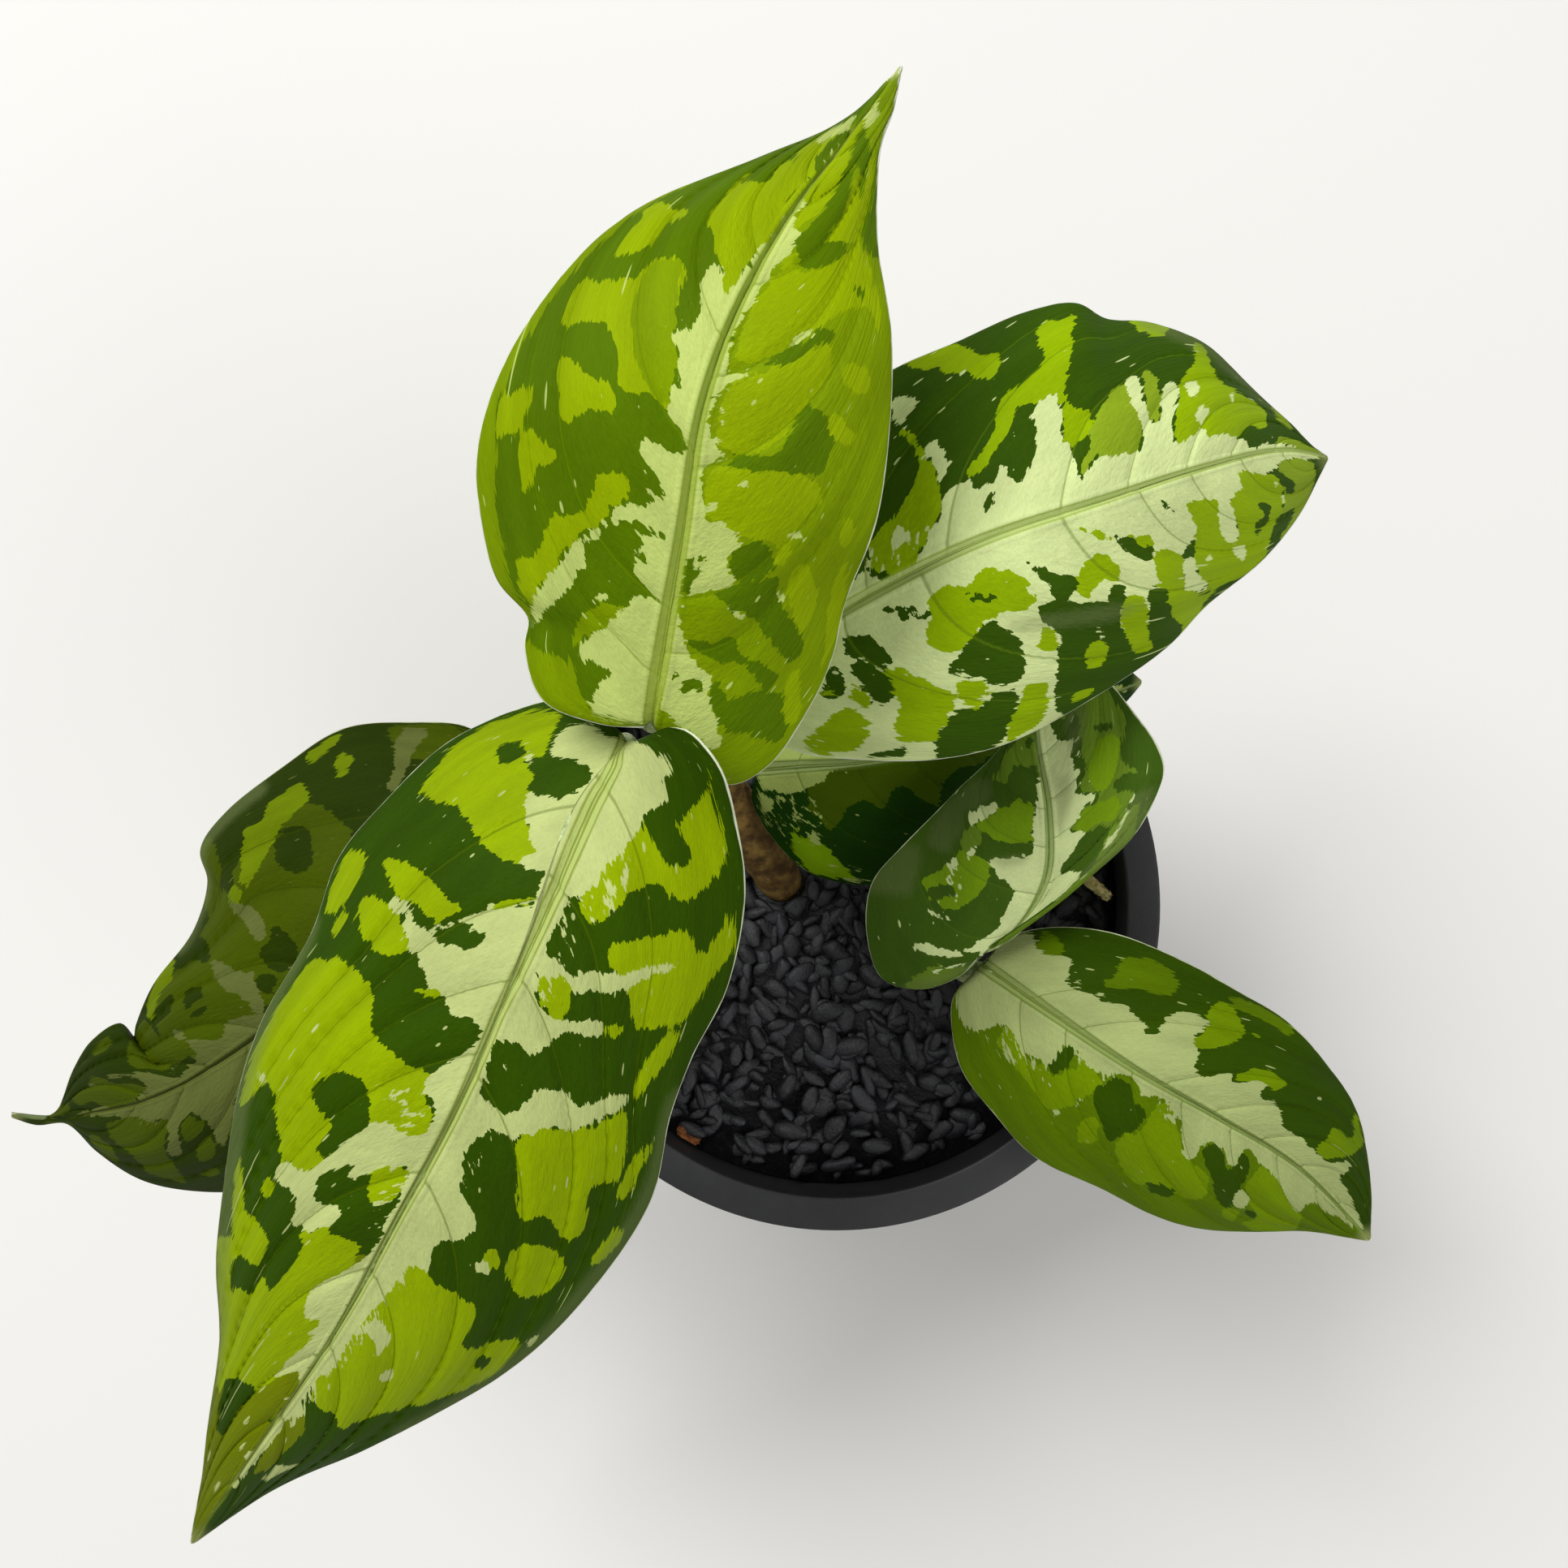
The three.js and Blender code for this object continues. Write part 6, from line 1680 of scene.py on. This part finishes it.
def make_gravel():
    random = np.random.default_rng(SEED)
    ball, ball_faces = pebble_ball()
    stems = stems_at(GRAVEL_TOP)
    wall = inner_wall(GRAVEL_TOP) - WALL_GAP
    points, faces, tones = [], [], []
    for i in range(PEBBLES):
        half = pebble_size(random)
        place, yaw = pebble_place(random, i, half, wall, stems)
        roll, pitch = random.uniform(-PEBBLE_TILT, PEBBLE_TILT, 2)
        shape = with_flats(ball, random, PEBBLE_FLATS, (0.55, 0.85), 0.88) * half
        shape = shape @ turn_about("x", roll * 1.6).T @ turn_about("y", pitch).T @ turn_about("z", yaw).T
        level = random.uniform(*(UPPER_LAYER if i % 3 == 0 else LOWER_LAYER))
        shape = shape + np.array([*place, level])
        across = np.hypot(shape[:, 0], shape[:, 1])
        outside = across > wall
        shape[outside, :2] *= (wall / across[outside])[:, None]
        points.append(shape)
        faces += [[k + i * len(ball) for k in f] for f in ball_faces]
        tones.append(np.full(len(shape), random.uniform(0, 1) ** 1.6))
    bed, bed_faces = make_bed(wall)
    points.append(bed)
    faces += [[k + PEBBLES * len(ball) for k in f] for f in bed_faces]
    tones.append(np.zeros(len(bed)))
    made = new_object("gravel_fine", np.vstack(points), faces, [gravel_material()])
    add_values(made, "tone", np.concatenate(tones))
    stand_in(made, "gravel")


def make_bed(wall):
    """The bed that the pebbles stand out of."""
    points = [(0, 0, GRAVEL_BED), (0, 0, BED_BOTTOM)]
    for z in (GRAVEL_BED, BED_BOTTOM):
        for k in range(BED_SIDES):
            angle = 2 * math.pi * k / BED_SIDES
            points.append((wall * math.cos(angle), wall * math.sin(angle), z))
    faces = []
    for k in range(BED_SIDES):
        top, top_next = 2 + k, 2 + (k + 1) % BED_SIDES
        bottom, bottom_next = top + BED_SIDES, top_next + BED_SIDES
        faces += [(0, top, top_next), (1, bottom_next, bottom), (top, bottom, bottom_next, top_next)]
    return np.array(points, float), faces


# Canes, stub and chip

def make_bark_piece(node, slot, points, faces, scars):
    made = new_object(node + "_fine", points, faces, [bark_material(slot)])
    add_values(made, "scar", scars)
    stand_in(made, node)


def make_cane(name, cane):
    random = np.random.default_rng(SEED + len(name))
    rings = (np.arange(cane["rings"]) + random.uniform(0.25, 0.75, cane["rings"])) / cane["rings"]
    lumps = random.uniform(-LUMP_HEIGHT, LUMP_HEIGHT, CANE_LUMPS)
    low, high = cane["radius"]

    def radius_at(share):
        off = (share - rings) * RING_SCALE
        ring = RING_HEIGHT * bell(off, *RING).sum() - GROOVE_DEPTH * bell(off, *GROOVE).sum()
        wave = sum(lump * math.sin((k + 1) * 3.1 * share + k) for k, lump in enumerate(lumps))
        end = math.sqrt(max(0.02, 1 - max(0, (share - (1 - CANE_END)) / CANE_END) ** 2))
        return (low + (high - low) * share + ring + wave) * end

    points, faces = tube(curve_through(cane["route"]), radius_at, CANE_STEPS, CANE_SIDES)
    shares = np.repeat(np.linspace(0, 1, CANE_STEPS + 1), CANE_SIDES)
    scars = bell((shares[:, None] - rings) * RING_SCALE, *SCAR).sum(1)
    make_bark_piece(name, cane["slot"], points, faces, np.concatenate([scars.clip(0, 1), [0, 0]]))


def make_stub():
    """The dry stub, with a torn upper end."""
    low, high = STUB_RADIUS

    def radius_at(share):
        return low + (high - low) * share + 0.1 * math.sin(25 * share)

    points, faces = tube(curve_through(STUB), radius_at, 60, 24)
    random = np.random.default_rng(SEED)
    torn = points[:, 2] > STUB_TORN_ABOVE
    points[torn] += random.uniform(-STUB_TEAR, STUB_TEAR, (torn.sum(), 3))
    make_bark_piece("old_stub", "dry_stub", points, faces, np.zeros(len(points)))


def make_chip():
    """The chip of bark: a ball with flats and grooves, pressed to the chip's size."""
    work = bmesh.new()
    bmesh.ops.create_icosphere(work, subdivisions=4, radius=1)
    ball, faces = ball_of(work)
    shape = with_flats(ball, np.random.default_rng(SEED + 3), CHIP_FLATS, (0.5, 0.8))
    grooves = 1 + 0.1 * np.sin(ball[:, 1] * 14 + 2 * ball[:, 0]) * (np.abs(ball[:, 0]) < 0.9)
    shape = shape * grooves[:, None] * np.array(CHIP_SIZE) / 2 * CHIP_FULLNESS
    shape = shape @ turn_about("z", CHIP_TURN).T + np.array(CHIP_PLACE)
    make_bark_piece("bark_chip", "bark", shape, faces, np.zeros(len(shape)))


# Studio

def make_floor():
    size = FLOOR_REACH
    corners = [(-size, -size, 0), (size, -size, 0), (size, size, 0), (-size, size, 0)]
    made = new_object("floor", corners, [(0, 1, 2, 3)], [floor_material()])
    made.location.z = -FLOOR_DROP * MM


def make_light(name, place, size, power):
    """A round soft light that faces the world's origin."""
    light = bpy.data.lights.new(name, "AREA")
    light.shape = "DISK"
    light.size = size
    light.energy = power
    made = bpy.data.objects.new(name, light)
    made.location = place
    made.rotation_euler = (-Vector(place)).to_track_quat("-Z", "Y").to_euler()
    bpy.context.scene.collection.objects.link(made)


def make_studio():
    make_floor()
    for name, light in LIGHTS.items():
        make_light(name, *light)
    world = bpy.data.worlds.new("soft_room")
    world.use_nodes = True
    world.node_tree.nodes["Background"].inputs["Color"].default_value = (1, 1, 1, 1)
    world.node_tree.nodes["Background"].inputs["Strength"].default_value = ROOM_LIGHT
    bpy.context.scene.world = world
    bpy.context.scene.view_settings.view_transform = "Standard"


def make_camera():
    camera = bpy.data.cameras.new("photo_camera")
    camera.sensor_width = SENSOR
    camera.lens = FOCAL_PIXELS / IMAGE_SIZE * SENSOR
    camera.clip_start = 0.01
    camera.clip_end = 20
    made = bpy.data.objects.new("photo_camera", camera)
    made.location = Vector(CAMERA_PLACE) * MM
    bpy.context.scene.collection.objects.link(made)
    bpy.context.scene.camera = made


# The whole plant

make_camera()
make_studio()
make_pot()
make_gravel()
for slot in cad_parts["soil"].material_slots:
    slot.link = "OBJECT"
    slot.material = soil_material()
for name, cane in CANES.items():
    make_cane(name, cane)
make_stub()
make_chip()
for number, (name, leaf) in enumerate(LEAVES.items(), 1):
    make_leaf(name, leaf, number)
